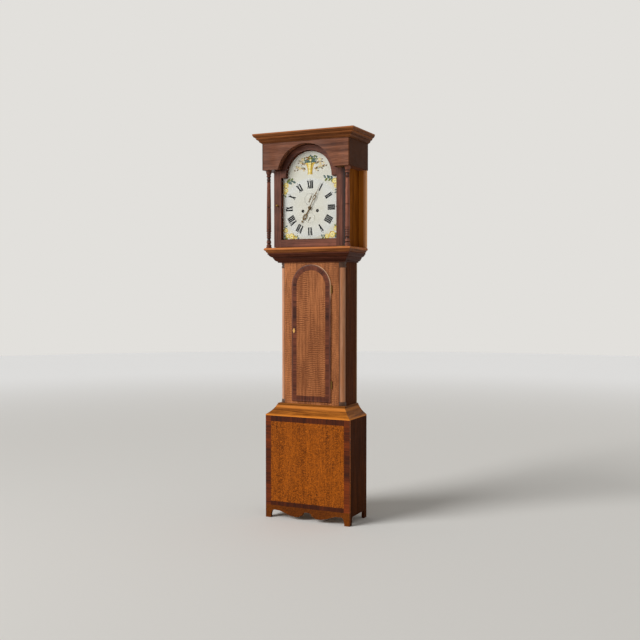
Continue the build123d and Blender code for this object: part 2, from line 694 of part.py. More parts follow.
shoulder_place = (shoulder_profile, TRUNK_HALF, TRUNK_DEPTH, SHOULDER_OUT)
shoulder_front, shoulder_returns = moulding_front(*shoulder_place), moulding_returns(*shoulder_place)
throat_place = (throat_profile, TRUNK_HALF, TRUNK_DEPTH, THROAT_OUT)
throat_front, throat_returns = moulding_front(*throat_place), moulding_returns(*throat_place)
hood_base_depth = HOOD_DEPTH - HOOD_BASE_BACK - HOOD_BASE_OUT
hood_base_place = (hood_base_profile, TRUNK_HALF + HOOD_CLEARANCE, hood_base_depth, HOOD_BASE_OUT)
hood_base_run, hood_base_returns = moulding_front(*hood_base_place), moulding_returns(*hood_base_place)
with BuildPart() as hood_base_front:
    add(hood_base_run.part)
    with Locations((PIVOT_X, y_at(HOOD_FRONT + PIVOT_FORWARD), HOOD_FLOOR)):
        Cylinder(PIVOT_PIN + RUNNING, PIVOT_SOCKET, mode=Mode.SUBTRACT)
cornice_place = (cornice_profile, HOOD_HALF, HOOD_DEPTH, CORNICE_OUT)
cornice_front, cornice_returns = moulding_front(*cornice_place), moulding_returns(*cornice_place)

# Trunk door
with BuildPart() as trunk_door_panel:
    panel_half = DOOR_HALF - DOOR_LAP - DOOR_CLEARANCE
    panel_bottom = DOOR_BOTTOM + DOOR_LAP + DOOR_CLEARANCE
    with BuildSketch(facing(TRUNK_DEPTH - DOOR_BODY)):
        round_head(panel_half, panel_bottom, DOOR_SPRING)
    extrude(amount=DOOR_BODY + DOOR_PROUD)
    with BuildSketch(facing(DOOR_FRONT - VENEER)) as door_band:
        round_head(panel_half, panel_bottom, DOOR_SPRING)
        round_head(panel_half - DOOR_BAND, panel_bottom + DOOR_BAND, DOOR_SPRING, mode=Mode.SUBTRACT)
    extrude(amount=VENEER, mode=Mode.SUBTRACT)

with BuildPart() as trunk_door_crossbanding:
    extrude(door_band.sketch, amount=VENEER)

with BuildPart() as trunk_door_lip:
    with BuildSketch(facing(TRUNK_DEPTH + SEAT_GAP)):
        round_head(DOOR_HALF, DOOR_BOTTOM, DOOR_SPRING)
        round_head(panel_half, panel_bottom, DOOR_SPRING, mode=Mode.SUBTRACT)
    extrude(amount=DOOR_PROUD - SEAT_GAP)
    lip_front = trunk_door_lip.faces().sort_by(Axis.Y)[0]
    fillet(lip_front.outer_wire().edges(), DOOR_PROUD / 2)
    for bottom in leaf_bottoms:
        slab((panel_half, DOOR_HALF), (TRUNK_DEPTH, TRUNK_DEPTH + SEAT_GAP + LEAF),
             (bottom, bottom + HINGE_LENGTH), mode=Mode.SUBTRACT)

with BuildPart() as trunk_door_escutcheon:
    escutcheon_place = facing(DOOR_FRONT, ESCUTCHEON_IN - panel_half, DOOR_BOTTOM + ESCUTCHEON_UP)
    with BuildSketch(escutcheon_place):
        with BuildLine():
            Polyline((ESCUTCHEON_WIDTH / 2, 0), (0, ESCUTCHEON_HEIGHT / 2), (-ESCUTCHEON_WIDTH / 2, 0),
                     (0, -ESCUTCHEON_HEIGHT / 2), close=True)
        make_face()
        with Locations((0, KEYHOLE)):
            Circle(KEYHOLE, mode=Mode.SUBTRACT)
        with Locations((0, -KEYHOLE)):
            Rectangle(KEYHOLE, 3 * KEYHOLE, mode=Mode.SUBTRACT)
    extrude(amount=ESCUTCHEON_THICKNESS)

with BuildPart() as trunk_door_lock:
    lock_x = LOCK_IN - panel_half
    lock_z = DOOR_BOTTOM + ESCUTCHEON_UP
    slab((lock_x, lock_x + LOCK_SIZE[0]), (TRUNK_DEPTH - DOOR_BODY - LOCK_SIZE[2], TRUNK_DEPTH - DOOR_BODY),
         (lock_z - LOCK_SIZE[1] / 2, lock_z + LOCK_SIZE[1] / 2))

knuckle = HINGE_LENGTH / 3


def knuckle_length(bottom, length, radius, mode=Mode.ADD):
    """A round length standing on the hinge line of the trunk door."""
    with BuildSketch(Plane(origin=(KNUCKLE_X, y_at(KNUCKLE_DEPTH), bottom))) as outline:
        Circle(radius)
    extrude(outline.sketch, amount=length, mode=mode)


with BuildPart() as trunk_hinge_leaves:
    for bottom in leaf_bottoms:
        slab((DOOR_HALF - DOOR_LAP, KNUCKLE_X + KNUCKLE_RADIUS), (TRUNK_DEPTH - LEAF, TRUNK_DEPTH),
             (bottom, bottom + HINGE_LENGTH))
        for end in (0, 2 * knuckle):
            slab((KNUCKLE_X - LEAF, KNUCKLE_X + KNUCKLE_RADIUS), (TRUNK_DEPTH, KNUCKLE_DEPTH),
                 (bottom + end, bottom + end + knuckle))
            knuckle_length(bottom + end, knuckle, KNUCKLE_RADIUS)
        knuckle_length(bottom, HINGE_LENGTH, HINGE_PIN)

with BuildPart() as trunk_door_hinges:
    for bottom in leaf_bottoms:
        middle = bottom + knuckle + SEAT_GAP
        length = knuckle - 2 * SEAT_GAP
        slab((panel_half, DOOR_HALF), (TRUNK_DEPTH + SEAT_GAP, TRUNK_DEPTH + SEAT_GAP + LEAF),
             (bottom, bottom + HINGE_LENGTH))
        slab((DOOR_HALF - LEAF, KNUCKLE_X), (TRUNK_DEPTH + SEAT_GAP, TRUNK_DEPTH + SEAT_GAP + LEAF),
             (middle, middle + length))
        knuckle_length(middle, length, KNUCKLE_RADIUS)
        knuckle_length(middle, length, HINGE_PIN + RUNNING, mode=Mode.SUBTRACT)

# Hood
with BuildPart() as hood_sides:
    slab((HOOD_INNER_HALF - HOOD_SIDE, HOOD_INNER_HALF), (0, MASK_FRONT - MASK), (HOOD_FLOOR, ROOF_Z))
    mirror(about=Plane.YZ)

with BuildPart() as hood_ears:
    slab((HOOD_INNER_HALF, HOOD_INNER_HALF + EAR_WIDTH), (0, BACK_THICKNESS), (HOOD_FLOOR, FRIEZE_BOTTOM))
    ear_edge = hood_ears.edges().filter_by(Axis.Z).sort_by(Axis.X)[-2:].sort_by(Axis.Y)[0]
    fillet(ear_edge, BACK_THICKNESS / 2)
    mirror(about=Plane.YZ)

with BuildPart() as hood_frieze_front:
    with BuildSketch(facing(HOOD_FRONT)):
        with Locations((0, (FRIEZE_BOTTOM + ROOF_Z) / 2)):
            Rectangle(HOOD_WIDTH, ROOF_Z - FRIEZE_BOTTOM)
        with Locations((0, ARCH_Z)):
            Circle(FRIEZE_ARCH, mode=Mode.SUBTRACT)
    extrude(amount=FRIEZE_FRONT)
    with Locations((PIVOT_X, y_at(HOOD_FRONT + PIVOT_FORWARD), FRIEZE_BOTTOM)):
        Cylinder(PIVOT_PIN + RUNNING, PIVOT_SOCKET, mode=Mode.SUBTRACT)

with BuildPart() as hood_frieze_sides:
    slab((HOOD_HALF - FRIEZE_SIDE, HOOD_HALF), (0, HOOD_FRONT), (FRIEZE_BOTTOM, ROOF_Z))
    slab((HOOD_INNER_HALF, HOOD_HALF - FRIEZE_SIDE), (0, HOOD_FRONT),
         (FRIEZE_BOTTOM, FRIEZE_BOTTOM + TOP_BOARD))
    mirror(about=Plane.YZ)

with BuildPart() as hood_top_board:
    slab((-HOOD_HALF, HOOD_HALF), (0, HOOD_DEPTH), (ROOF_Z, ROOF_Z + TOP_BOARD))

with BuildPart() as hood_mask:
    with BuildSketch(facing(MASK_FRONT - MASK)):
        with Locations((0, (HOOD_FLOOR + ROOF_Z) / 2)):
            Rectangle(HOOD_INNER, ROOF_Z - HOOD_FLOOR)
        break_arch(SIGHT_HALF - MASK_LAP, HOOD_FLOOR + SIGHT_BOTTOM_UP + MASK_LAP,
                   FRIEZE_BOTTOM - SIGHT_SHOULDER_DROP - MASK_LAP, SIGHT_ARCH - MASK_LAP, mode=Mode.SUBTRACT)
    extrude(amount=MASK)

with BuildPart() as hood_columns:
    groove = COLUMN_GROOVE * COLUMN_HEIGHT
    turnings = list(COLUMN_FOOT)
    for radius, up in ((0, -1), (1, 0), (0, 1)):
        turnings.append((COLUMN_WAIST - radius * COLUMN_GROOVE_SIZE, groove + up * COLUMN_GROOVE_SIZE))
    turnings += [(radius, COLUMN_HEIGHT - down) for radius, down in COLUMN_HEAD]
    column_foot = (COLUMN_X, y_at(COLUMN_DEPTH), HOOD_FLOOR)
    with BuildSketch(Plane(origin=column_foot, x_dir=(1, 0, 0), z_dir=(0, -1, 0))):
        with BuildLine():
            Polyline((0, COLUMN_HEIGHT), (0, 0), *turnings, close=True)
        make_face()
    revolve(axis=Axis(column_foot, (0, 0, 1)))
    mirror(about=Plane.YZ)

# Hood door
door_floor = HOOD_FLOOR + HOOD_DOOR_GAP
door_shoulder = FRIEZE_BOTTOM - HOOD_DOOR_GAP
sight_bottom = HOOD_FLOOR + SIGHT_BOTTOM_UP
sight_shoulder = FRIEZE_BOTTOM - SIGHT_SHOULDER_DROP
door_back = HOOD_FRONT - HOOD_DOOR_THICKNESS


def rebate():
    """Sink the seat of the glass into the back of the door part in the open block."""
    with BuildSketch(facing(door_back)) as outline:
        break_arch(SIGHT_HALF + SIGHT_LAP, sight_bottom - SIGHT_LAP, sight_shoulder + SIGHT_LAP,
                   SIGHT_ARCH + SIGHT_LAP)
    extrude(outline.sketch, amount=GLASS_BACK + GLASS, mode=Mode.SUBTRACT)


with BuildPart() as hood_door_stiles:
    slab((SIGHT_HALF, HOOD_INNER_HALF), (door_back, HOOD_FRONT), (door_floor, sight_shoulder))
    mirror(about=Plane.YZ)
    rebate()

with BuildPart() as hood_door_rail:
    slab((-SIGHT_HALF, SIGHT_HALF), (door_back, HOOD_FRONT), (door_floor, sight_bottom))
    rebate()

with BuildPart() as hood_door_head:
    with BuildSketch(facing(door_back)):
        with Locations((0, (sight_shoulder + door_shoulder) / 2)):
            Rectangle(HOOD_INNER, door_shoulder - sight_shoulder)
        with BuildSketch(mode=Mode.PRIVATE) as head_arch:
            with Locations((0, ARCH_Z)):
                Circle(HOOD_DOOR_ARCH)
            with Locations((0, sight_shoulder - HOOD_DOOR_ARCH)):
                Rectangle(4 * HOOD_DOOR_ARCH, 2 * HOOD_DOOR_ARCH, mode=Mode.SUBTRACT)
        add(head_arch.sketch)
        with Locations((0, ARCH_Z)):
            Circle(SIGHT_ARCH, mode=Mode.SUBTRACT)
    extrude(amount=HOOD_DOOR_THICKNESS)
    rebate()

with BuildPart() as hood_door_glass:
    with BuildSketch(facing(door_back + GLASS_BACK)):
        edge = SIGHT_LAP - SEAT_GAP
        break_arch(SIGHT_HALF + edge, sight_bottom - edge, sight_shoulder + edge, SIGHT_ARCH + edge)
    extrude(amount=GLASS)

with BuildPart() as hood_door_knob:
    knob_x = -(SIGHT_HALF + HOOD_INNER_HALF) / 2
    knob_place = (knob_x, y_at(HOOD_FRONT), HOOD_FLOOR + KNOB_UP)
    with BuildSketch(Plane(origin=knob_place, x_dir=(1, 0, 0), z_dir=(0, 0, 1))):
        with BuildLine():
            foot = [(radius, -out) for radius, out in KNOB_FOOT]
            head = [(radius, -out) for radius, out in KNOB_HEAD]
            Polyline(*foot)
            ThreePointArc(*head[:3])
            ThreePointArc(*head[2:])
            Polyline(head[-1], (0, head[-1][1]), (0, 0))
        make_face()
    revolve(axis=Axis(knob_place, (0, 1, 0)))

with BuildPart() as hood_door_pivots:
    strap_end = HOOD_INNER_HALF - PIVOT_X - PIVOT_STRAP_INSET
    strap_mid = strap_end - PIVOT_STRAP_LENGTH / 2
    strap_wide = HOOD_DOOR_THICKNESS / 2
    arm = 3 * PIVOT_STRAP_LENGTH / 10
    lower_pin = door_floor - PIVOT_STRAP - PIVOT_LENGTH
    upper_pin = door_shoulder + PIVOT_STRAP
    for strap_z, pin_z in ((door_floor - PIVOT_STRAP, lower_pin), (door_shoulder, upper_pin)):
        pivot_place = (PIVOT_X, y_at(HOOD_FRONT + PIVOT_FORWARD))
        with BuildSketch(Plane(origin=(*pivot_place, strap_z))):
            Circle(2 * PIVOT_PIN)
            with Locations((strap_mid, PIVOT_FORWARD + strap_wide / 2)):
                Rectangle(PIVOT_STRAP_LENGTH, strap_wide)
            with BuildLine():
                Polyline((2 * PIVOT_PIN, 0), (strap_end, PIVOT_FORWARD), (strap_end - arm, PIVOT_FORWARD),
                         (-2 * PIVOT_PIN, 0), close=True)
            make_face()
        extrude(amount=PIVOT_STRAP)
        with BuildSketch(Plane(origin=(*pivot_place, pin_z))):
            Circle(PIVOT_PIN)
        extrude(amount=PIVOT_LENGTH)

# Dial and hands
centre = (0.0, DIAL_Z)
going = (WINDING_OUT, WINDING_Z)
striking = (-WINDING_OUT, WINDING_Z)
third = (THIRD_OUT, DIAL_Z + THIRD_UP)
escape = (0.0, DIAL_Z + SECONDS_UP)
anchor_arbor = (0.0, DIAL_Z + ANCHOR_UP)
pin_arbor = (-PIN_OUT, DIAL_Z + PIN_UP)
hammer_arbor = (-HAMMER_OUT, DIAL_Z + HAMMER_UP)
minute_arbor = (-MINUTE_OUT, DIAL_Z + MINUTE_UP)
calendar = (0.0, DIAL_Z - DATE_DOWN)
PIPE_HOLE = CANNON + RUNNING

with BuildPart() as dial_plate:
    with BuildSketch(facing(DIAL_FRONT - DIAL_THICKNESS)):
        break_arch(DIAL_WIDTH / 2, HOOD_FLOOR + DIAL_BOTTOM_UP, FRIEZE_BOTTOM - DIAL_SHOULDER_DROP, DIAL_ARCH)
        for hole, radius in ((centre, PIPE + DIAL_CLEARANCE), (going, DIAL_HOLE), (striking, DIAL_HOLE),
                             (escape, DIAL_HOLE / 2), (calendar, ARBOR + RUNNING)):
            with Locations(hole):
                Circle(radius, mode=Mode.SUBTRACT)
    extrude(amount=DIAL_THICKNESS)
    for side in (-1, 1):
        for up in (-1, 1):
            foot_place = (side * DIAL_FOOT_OUT, DIAL_Z + up * 0.8 * PLATE_DOWN)
            rod(foot_place, PLATE_FRONT, MOTION_SPACE, DIAL_FOOT)


def hand(arbor, depth, turn, hole, length, stem, ornament):
    """A pierced pointer from its hub at (x, z), turned clockwise from twelve."""
    hub, width = stem
    loop_at, loop = ornament
    with BuildSketch(mode=Mode.PRIVATE) as pointer:
        Circle(hub)
        with BuildLine():
            Polyline((-width / 2, 0), (-width / 2, loop_at - loop), (0, length), (width / 2, loop_at - loop),
                     (width / 2, 0), close=True)
        make_face()
        with Locations((0, loop_at)):
            Ellipse(0.55 * loop, loop)
            Ellipse(0.3 * loop, 0.62 * loop, mode=Mode.SUBTRACT)
        with Locations((0, loop_at + 1.55 * loop)):
            RegularPolygon(0.34 * loop, 4)
        Circle(hole, mode=Mode.SUBTRACT)
    with BuildSketch(facing(depth, *arbor)) as outline:
        add(pointer.sketch, rotation=-turn)
    extrude(outline.sketch, amount=HAND)


with BuildPart() as minute_hand:
    hand(centre, MINUTE_DEPTH, 360 * (TIME_SHOWN % 1), CANNON - CANNON_STEP + RUNNING, MINUTE_HAND,
         MINUTE_STEM, MINUTE_LOOP)

with BuildPart() as hour_hand:
    hand(centre, HOUR_DEPTH, 30 * TIME_SHOWN, PIPE + RUNNING, HOUR_HAND, HOUR_STEM, HOUR_LOOP)

with BuildPart() as seconds_hand:
    hand(escape, SECONDS_DEPTH, 6 * SECONDS_SHOWN, PIVOT + RUNNING, SECONDS_HAND, SECONDS_STEM, SECONDS_LOOP)
    with BuildSketch(mode=Mode.PRIVATE) as tail:
        with BuildLine():
            Polyline((-HAND, -2 * HAND), (-2 * HAND, -SECONDS_TAIL), (2 * HAND, -SECONDS_TAIL),
                     (HAND, -2 * HAND), close=True)
        make_face()
    with BuildSketch(facing(SECONDS_DEPTH, *escape)):
        add(tail.sketch, rotation=-6 * SECONDS_SHOWN)
    extrude(amount=HAND)

with BuildPart() as calendar_hand:
    post_back = DIAL_FRONT - DIAL_THICKNESS - DATE_POST[0]
    rod(calendar, post_back, DIAL_THICKNESS + sum(DATE_POST), ARBOR)
    rod(calendar, post_back, DATE_COLLAR, 2 * ARBOR)
    date_turn = 360 * DATE_SHOWN / DAYS
    hand(calendar, DIAL_FRONT + DATE_RISE, date_turn, ARBOR / 2, DATE_HAND, DATE_STEM, DATE_LOOP)

# Movement plates and what is fixed to them
with BuildPart() as movement_front_plate:
    plate_mid = DIAL_Z + (PLATE_UP - PLATE_DOWN) / 2
    with BuildSketch(facing(PLATE_INSIDE)):
        with Locations((0, plate_mid)):
            Rectangle(2 * PLATE_HALF, PLATE_UP + PLATE_DOWN)
        with Locations(centre):
            Circle(CANNON + RUNNING, mode=Mode.SUBTRACT)
        with Locations(going, striking):
            Circle(WINDER + RUNNING, mode=Mode.SUBTRACT)
        with Locations(third, escape, anchor_arbor, pin_arbor, hammer_arbor):
            Circle(PIVOT + RUNNING, mode=Mode.SUBTRACT)
    extrude(amount=PLATE)
    rod(minute_arbor, PLATE_FRONT, MINUTE_POST, ARBOR)

with BuildPart() as movement_back_plate:
    with BuildSketch(facing(PLATE_BACK)):
        with Locations((0, plate_mid)):
            Rectangle(2 * PLATE_HALF, PLATE_UP + PLATE_DOWN)
        for hole in (centre, going, striking, third, escape, pin_arbor, hammer_arbor):
            with Locations(hole):
                Circle(PIVOT + RUNNING, mode=Mode.SUBTRACT)
        with Locations(anchor_arbor):
            Circle(4 * ARBOR, mode=Mode.SUBTRACT)
    extrude(amount=PLATE)

with BuildPart() as movement_pillars:
    for out, up in ((UPPER_PILLAR_OUT, PLATE_UP - PILLAR_INSET),
                    (PLATE_HALF - PILLAR_INSET, PILLAR_INSET - PLATE_DOWN)):
        for side in (-1, 1):
            rod((side * out, DIAL_Z + up), BACK_INSIDE, PLATE_GAP, PILLAR)

with BuildPart() as back_cock:
    cock_z = (SWING_Z - COCK_DROP, DIAL_Z + PLATE_UP)
    slab((-COCK_HALF, COCK_HALF), (COCK_DEPTH, COCK_DEPTH + PLATE), cock_z)
    for start in (-COCK_HALF, COCK_HALF - COCK_LEG):
        slab((start, start + COCK_LEG), (COCK_DEPTH, PLATE_BACK), cock_z)
    nose = 0.8 * COCK_LEG
    slab((-nose, nose), (PENDULUM_DEPTH - nose, COCK_DEPTH),
         (SWING_Z + SEAT_GAP, DIAL_Z + PLATE_UP))
    rod(anchor_arbor, COCK_DEPTH, PLATE, PIVOT + RUNNING, mode=Mode.SUBTRACT)

with BuildPart() as bell:
    with BuildSketch(Plane(origin=(0, y_at(DRUM_MID), BELL_Z), x_dir=(1, 0, 0), z_dir=(0, -1, 0))):
        with BuildLine():
            inner = BELL_RADIUS - BELL_WALL
            Line((ARBOR, BELL_HEIGHT), (ARBOR, BELL_HEIGHT - BELL_WALL))
            ThreePointArc((ARBOR, BELL_HEIGHT - BELL_WALL), (0.72 * inner, 0.66 * BELL_HEIGHT), (inner, 0))
            Line((inner, 0), (BELL_RADIUS, 0))
            ThreePointArc((BELL_RADIUS, 0), (0.74 * BELL_RADIUS, 0.7 * BELL_HEIGHT), (ARBOR, BELL_HEIGHT))
        make_face()
    revolve(axis=Axis((0, y_at(DRUM_MID), 0), (0, 0, 1)))

with BuildPart() as bell_stand:
    stand_x = PLATE_HALF - BELL_STAND_IN
    stand = (stand_x - BELL_STAND_HALF, stand_x + BELL_STAND_HALF)
    stand_back = PLATE_BACK - BELL_STAND
    arm_z = BELL_Z + BELL_HEIGHT + SEAT_GAP
    slab(stand, (stand_back, PLATE_BACK), (DIAL_Z + 0.6 * PLATE_UP, arm_z + BELL_STAND))
    with BuildSketch(Plane.XY.offset(arm_z)):
        with BuildLine():
            arm_front = y_at(DRUM_MID + BELL_STAND)
            Polyline((stand[0], y_at(stand_back)), (stand[1], y_at(stand_back)), (stand[1], y_at(PLATE_BACK)),
                     (BELL_STAND_HALF, arm_front), (-BELL_STAND_HALF, arm_front),
                     (-BELL_STAND_HALF, y_at(DRUM_MID - BELL_STAND_HALF)), close=True)
        make_face()
    extrude(amount=BELL_STAND)
    with Locations((0, y_at(DRUM_MID), arm_z - BELL_STAND / 2)):
        Cylinder(ARBOR, 2 * BELL_STAND)

# Going train
great_module = module_of(going, centre, GREAT_TEETH + CENTRE_LEAVES)
centre_module = module_of(centre, third, CENTRE_TEETH + THIRD_LEAVES)
third_module = module_of(third, escape, THIRD_TEETH + ESCAPE_LEAVES)
cannon_module = module_of(centre, minute_arbor, CANNON_TEETH + MINUTE_TEETH)
hour_module = module_of(centre, minute_arbor, HOUR_TEETH + MINUTE_LEAVES)
strike_module = module_of(striking, pin_arbor, STRIKE_TEETH + PIN_LEAVES)


def meshed(driver, driven, teeth, count, turn=0.0):
    """Turn that puts a gap of the driven outline where a tooth of the driver lies on their line."""
    toward = bearing(driver, driven)
    phase = (toward - turn) * teeth / count
    return toward + 180 + phase + 180 / count


with BuildPart() as going_great_wheel:
    wheel(going, GREAT_DEPTH, GREAT_TEETH, great_module, thickness=PLATE)
    rod(going, GREAT_DEPTH, PLATE, WINDER + RUNNING, mode=Mode.SUBTRACT)

with BuildPart() as strike_great_wheel:
    wheel(striking, GREAT_DEPTH, STRIKE_TEETH, strike_module, thickness=PLATE)
    rod(striking, GREAT_DEPTH, PLATE, WINDER + RUNNING, mode=Mode.SUBTRACT)


def barrel(arbor):
    """A flanged drum on its arbor with a pivot behind and a winding square in front."""
    drum = BARREL_RADIUS - LINE - SEAT_GAP / 2
    for start, end, radius in ((DRUM_BACK, DRUM_BACK + WHEEL, BARREL_FLANGE),
                               (DRUM_BACK + WHEEL, DRUM_FRONT - WHEEL, drum),
                               (DRUM_FRONT - WHEEL, DRUM_FRONT, BARREL_FLANGE),
                               (BACK_INSIDE + SEAT_GAP, PLATE_FRONT + WINDER_AHEAD, WINDER),
                               (PLATE_BACK, DRUM_BACK, PIVOT)):
        rod(arbor, start, end - start, radius)
    with BuildSketch(facing(PLATE_FRONT, *arbor)) as square:
        Rectangle(1.4 * WINDER, 1.4 * WINDER)
    extrude(square.sketch, amount=MOTION_SPACE - SQUARE_SHORT)


with BuildPart() as going_barrel:
    barrel(going)

with BuildPart() as strike_barrel:
    barrel(striking)

with BuildPart() as centre_wheel:
    arbor_rod(centre)
    wheel(centre, FRONT_WHEEL, CENTRE_TEETH, centre_module)
    pinion(centre, BACK_INSIDE + PINION_AHEAD, CENTRE_LEAVES, great_module, PINION,
           meshed(going, centre, GREAT_TEETH, CENTRE_LEAVES))
    rod(centre, PLATE_INSIDE, MINUTE_DEPTH - PLATE_INSIDE, CANNON)
    rod(centre, MINUTE_DEPTH, 2 * HAND, CANNON - CANNON_STEP)
    wheel(centre, CANNON_DEPTH, CANNON_TEETH, cannon_module)

with BuildPart() as minute_wheel:
    wheel(minute_arbor, CANNON_DEPTH, MINUTE_TEETH, cannon_module,
          meshed(centre, minute_arbor, CANNON_TEETH, MINUTE_TEETH))
    pinion(minute_arbor, CANNON_DEPTH + WHEEL, MINUTE_LEAVES, hour_module, PINION)
    rod(minute_arbor, PLATE_FRONT, MOTION_SPACE / 2, ARBOR + RUNNING, mode=Mode.SUBTRACT)

with BuildPart() as hour_wheel:
    wheel(centre, HOUR_WHEEL_DEPTH, HOUR_TEETH, hour_module,
          meshed(minute_arbor, centre, MINUTE_LEAVES, HOUR_TEETH))
    rod(centre, HOUR_WHEEL_DEPTH, HOUR_DEPTH + HAND - HOUR_WHEEL_DEPTH, PIPE)
    rod(centre, HOUR_WHEEL_DEPTH, HOUR_DEPTH, PIPE_HOLE, mode=Mode.SUBTRACT)

with BuildPart() as third_wheel:
    third_turn = meshed(centre, third, CENTRE_TEETH, THIRD_LEAVES)
    arbor_rod(third)
    pinion(third, FRONT_WHEEL - WHEEL, THIRD_LEAVES, centre_module, 3 * WHEEL, third_turn)
    wheel(third, THIRD_DEPTH, THIRD_TEETH, third_module)

with BuildPart() as escape_wheel:
    arbor_rod(escape, DIAL_FRONT + 2 * SECONDS_RISE - PLATE_FRONT)
    pinion(escape, THIRD_DEPTH - WHEEL, ESCAPE_LEAVES, third_module, 3 * WHEEL,
           meshed(third, escape, THIRD_TEETH, ESCAPE_LEAVES))
    with BuildSketch(facing(ESCAPE_DEPTH, *escape)):
        toothed(star(ESCAPE_TEETH, ESCAPE_RADIUS, 0.84 * ESCAPE_RADIUS, 0.3), 0)
        with BuildSketch(mode=Mode.PRIVATE) as escape_crossing:
            Circle(0.72 * ESCAPE_RADIUS)
            Circle(2.6 * ARBOR, mode=Mode.SUBTRACT)
            with PolarLocations(0, 4):
                Rectangle(2 * ESCAPE_RADIUS, 2 * ARBOR, mode=Mode.SUBTRACT)
        add(escape_crossing.sketch, mode=Mode.SUBTRACT)
    extrude(amount=ESCAPE_THICKNESS)

with BuildPart() as anchor:
    behind = COCK_DEPTH + PLATE + SEAT_GAP
    rod(anchor_arbor, behind, PLATE_INSIDE - SEAT_GAP - behind, ARBOR)
    rod(anchor_arbor, COCK_DEPTH, PLATE_FRONT - COCK_DEPTH, PIVOT)
    with BuildSketch(facing(ESCAPE_DEPTH - (ANCHOR_THICKNESS - ESCAPE_THICKNESS) / 2, *anchor_arbor)):
        reach = (ANCHOR_UP - SECONDS_UP) / 2
        with BuildLine():
            tip_x, tip_y = reach + PALLET_GAP, PALLET_GAP - reach
            Polyline((0, ANCHOR_BACK), (tip_x + ANCHOR_HORN[0], tip_y + ANCHOR_HORN[1]), (tip_x, tip_y),
                     (tip_x - ANCHOR_HEEL[0], tip_y + ANCHOR_HEEL[1]), (0, -ANCHOR_THROAT))
            mirror(about=Plane.YZ)
        make_face()
    extrude(amount=ANCHOR_THICKNESS)
    fork_z = SWING_Z - CRUTCH_DROP
    fork_front, fork_back = CRUTCH_DEPTH + CRUTCH, PENDULUM_DEPTH - FORK_BEYOND
    slot_front, slot_back = PENDULUM_DEPTH + 1.8 * ROD, fork_back - ROD
    slab((-CRUTCH_HALF, CRUTCH_HALF), (CRUTCH_DEPTH, fork_front), (fork_z, SWING_Z))
    slab((-FORK_WIDTH / 2, FORK_WIDTH / 2), (fork_back, fork_front), (fork_z, fork_z + CRUTCH))
    slab((-ROD - SEAT_GAP, ROD + SEAT_GAP), (slot_back, slot_front), (fork_z, fork_z + CRUTCH),
         mode=Mode.SUBTRACT)

# Strike side
with BuildPart() as pin_wheel:
    arbor_rod(pin_arbor)
    pinion(pin_arbor, BACK_INSIDE + PINION_AHEAD, PIN_LEAVES, strike_module, PINION,
           meshed(striking, pin_arbor, STRIKE_TEETH, PIN_LEAVES))
    wheel(pin_arbor, FRONT_WHEEL, PIN_TEETH, PIN_MODULE)
    ring = PIN_MODULE * (PIN_TEETH / 2 - 3)
    for pin in range(LIFT_PINS):
        turn = 2 * pi * pin / LIFT_PINS
        pin_place = (pin_arbor[0] + ring * cos(turn), pin_arbor[1] + ring * sin(turn))
        rod(pin_place, FRONT_WHEEL - LIFT_PIN_LENGTH, LIFT_PIN_LENGTH, LIFT_PIN)

with BuildPart() as hammer:
    arbor_rod(hammer_arbor)
    hammer_x, hammer_z = hammer_arbor
    head_z = BELL_Z + HAMMER_HEAD_UP
    head_radius, head_length = HAMMER_HEAD
    tail_half, tail_length = HAMMER_TAIL
    slab((hammer_x - HAMMER_STEM, hammer_x + HAMMER_STEM), (DRUM_MID - HAMMER_STEM, DRUM_MID + HAMMER_STEM),
         (hammer_z, head_z + HAMMER_TOP))
    slab((hammer_x - tail_half, hammer_x + tail_half),
         (FRONT_WHEEL - LIFT_PIN_LENGTH, FRONT_WHEEL - HAMMER_TAIL_GAP), (hammer_z - tail_length, hammer_z))
    head_place = (hammer_x - HAMMER_HEAD_BACK, y_at(DRUM_MID), head_z)
    with BuildSketch(Plane(origin=head_place, z_dir=(1, 0, 0))):
        Circle(head_radius)
    extrude(amount=head_length)

# Weights on their pulleys and lines


def stirrup(x):
    """The pulley's stirrup with its axle, and the hook that carries the weight."""
    gap = PULLEY_WIDTH / 2 + SEAT_GAP
    for side in (-1, 1):
        near = DRUM_MID + side * (gap + STIRRUP / 2)
        slab((x - 3 * STIRRUP, x + 3 * STIRRUP), (near - STIRRUP / 2, near + STIRRUP / 2),
             (PULLEY_Z - STIRRUP_DROP, PULLEY_Z + 4 * STIRRUP))
    slab((x - 3 * STIRRUP, x + 3 * STIRRUP), (DRUM_MID - gap - STIRRUP, DRUM_MID + gap + STIRRUP),
         (PULLEY_Z - STIRRUP_DROP - 2 * STIRRUP, PULLEY_Z - STIRRUP_DROP))
    rod((x, PULLEY_Z), DRUM_MID - gap - STIRRUP, 2 * (gap + STIRRUP), ARBOR)
    with Locations((x, y_at(DRUM_MID), (PULLEY_Z - STIRRUP_DROP + WEIGHT_TOP) / 2)):
        Cylinder(ARBOR, PULLEY_Z - STIRRUP_DROP - WEIGHT_TOP)


def weight(x):
    """A cast cylinder with eased ends."""
    with Locations((x, y_at(DRUM_MID), WEIGHT_TOP - WEIGHT_LENGTH / 2)):
        drum = Cylinder(WEIGHT_RADIUS, WEIGHT_LENGTH)
    chamfer(drum.edges().filter_by(GeomType.CIRCLE), WEIGHT_EASE)


def pulley(x):
    """A grooved sheave with a running bore."""
    groove = PULLEY_RADIUS - LINE - SEAT_GAP
    rim = PULLEY_RADIUS + PULLEY_RIM
    half = PULLEY_WIDTH / 2
    middle = (x, y_at(DRUM_MID), PULLEY_Z)
    with BuildSketch(Plane(origin=middle, x_dir=(1, 0, 0), z_dir=(0, 0, 1))) as section:
        with BuildLine():
            bore = ARBOR + RUNNING
            Polyline((rim, half), (bore, half), (bore, -half), (rim, -half), (groove, -1.5 * LINE),
                     (groove, 1.5 * LINE), close=True)
        make_face()
    revolve(section.sketch, axis=Axis(middle, (0, 1, 0)))


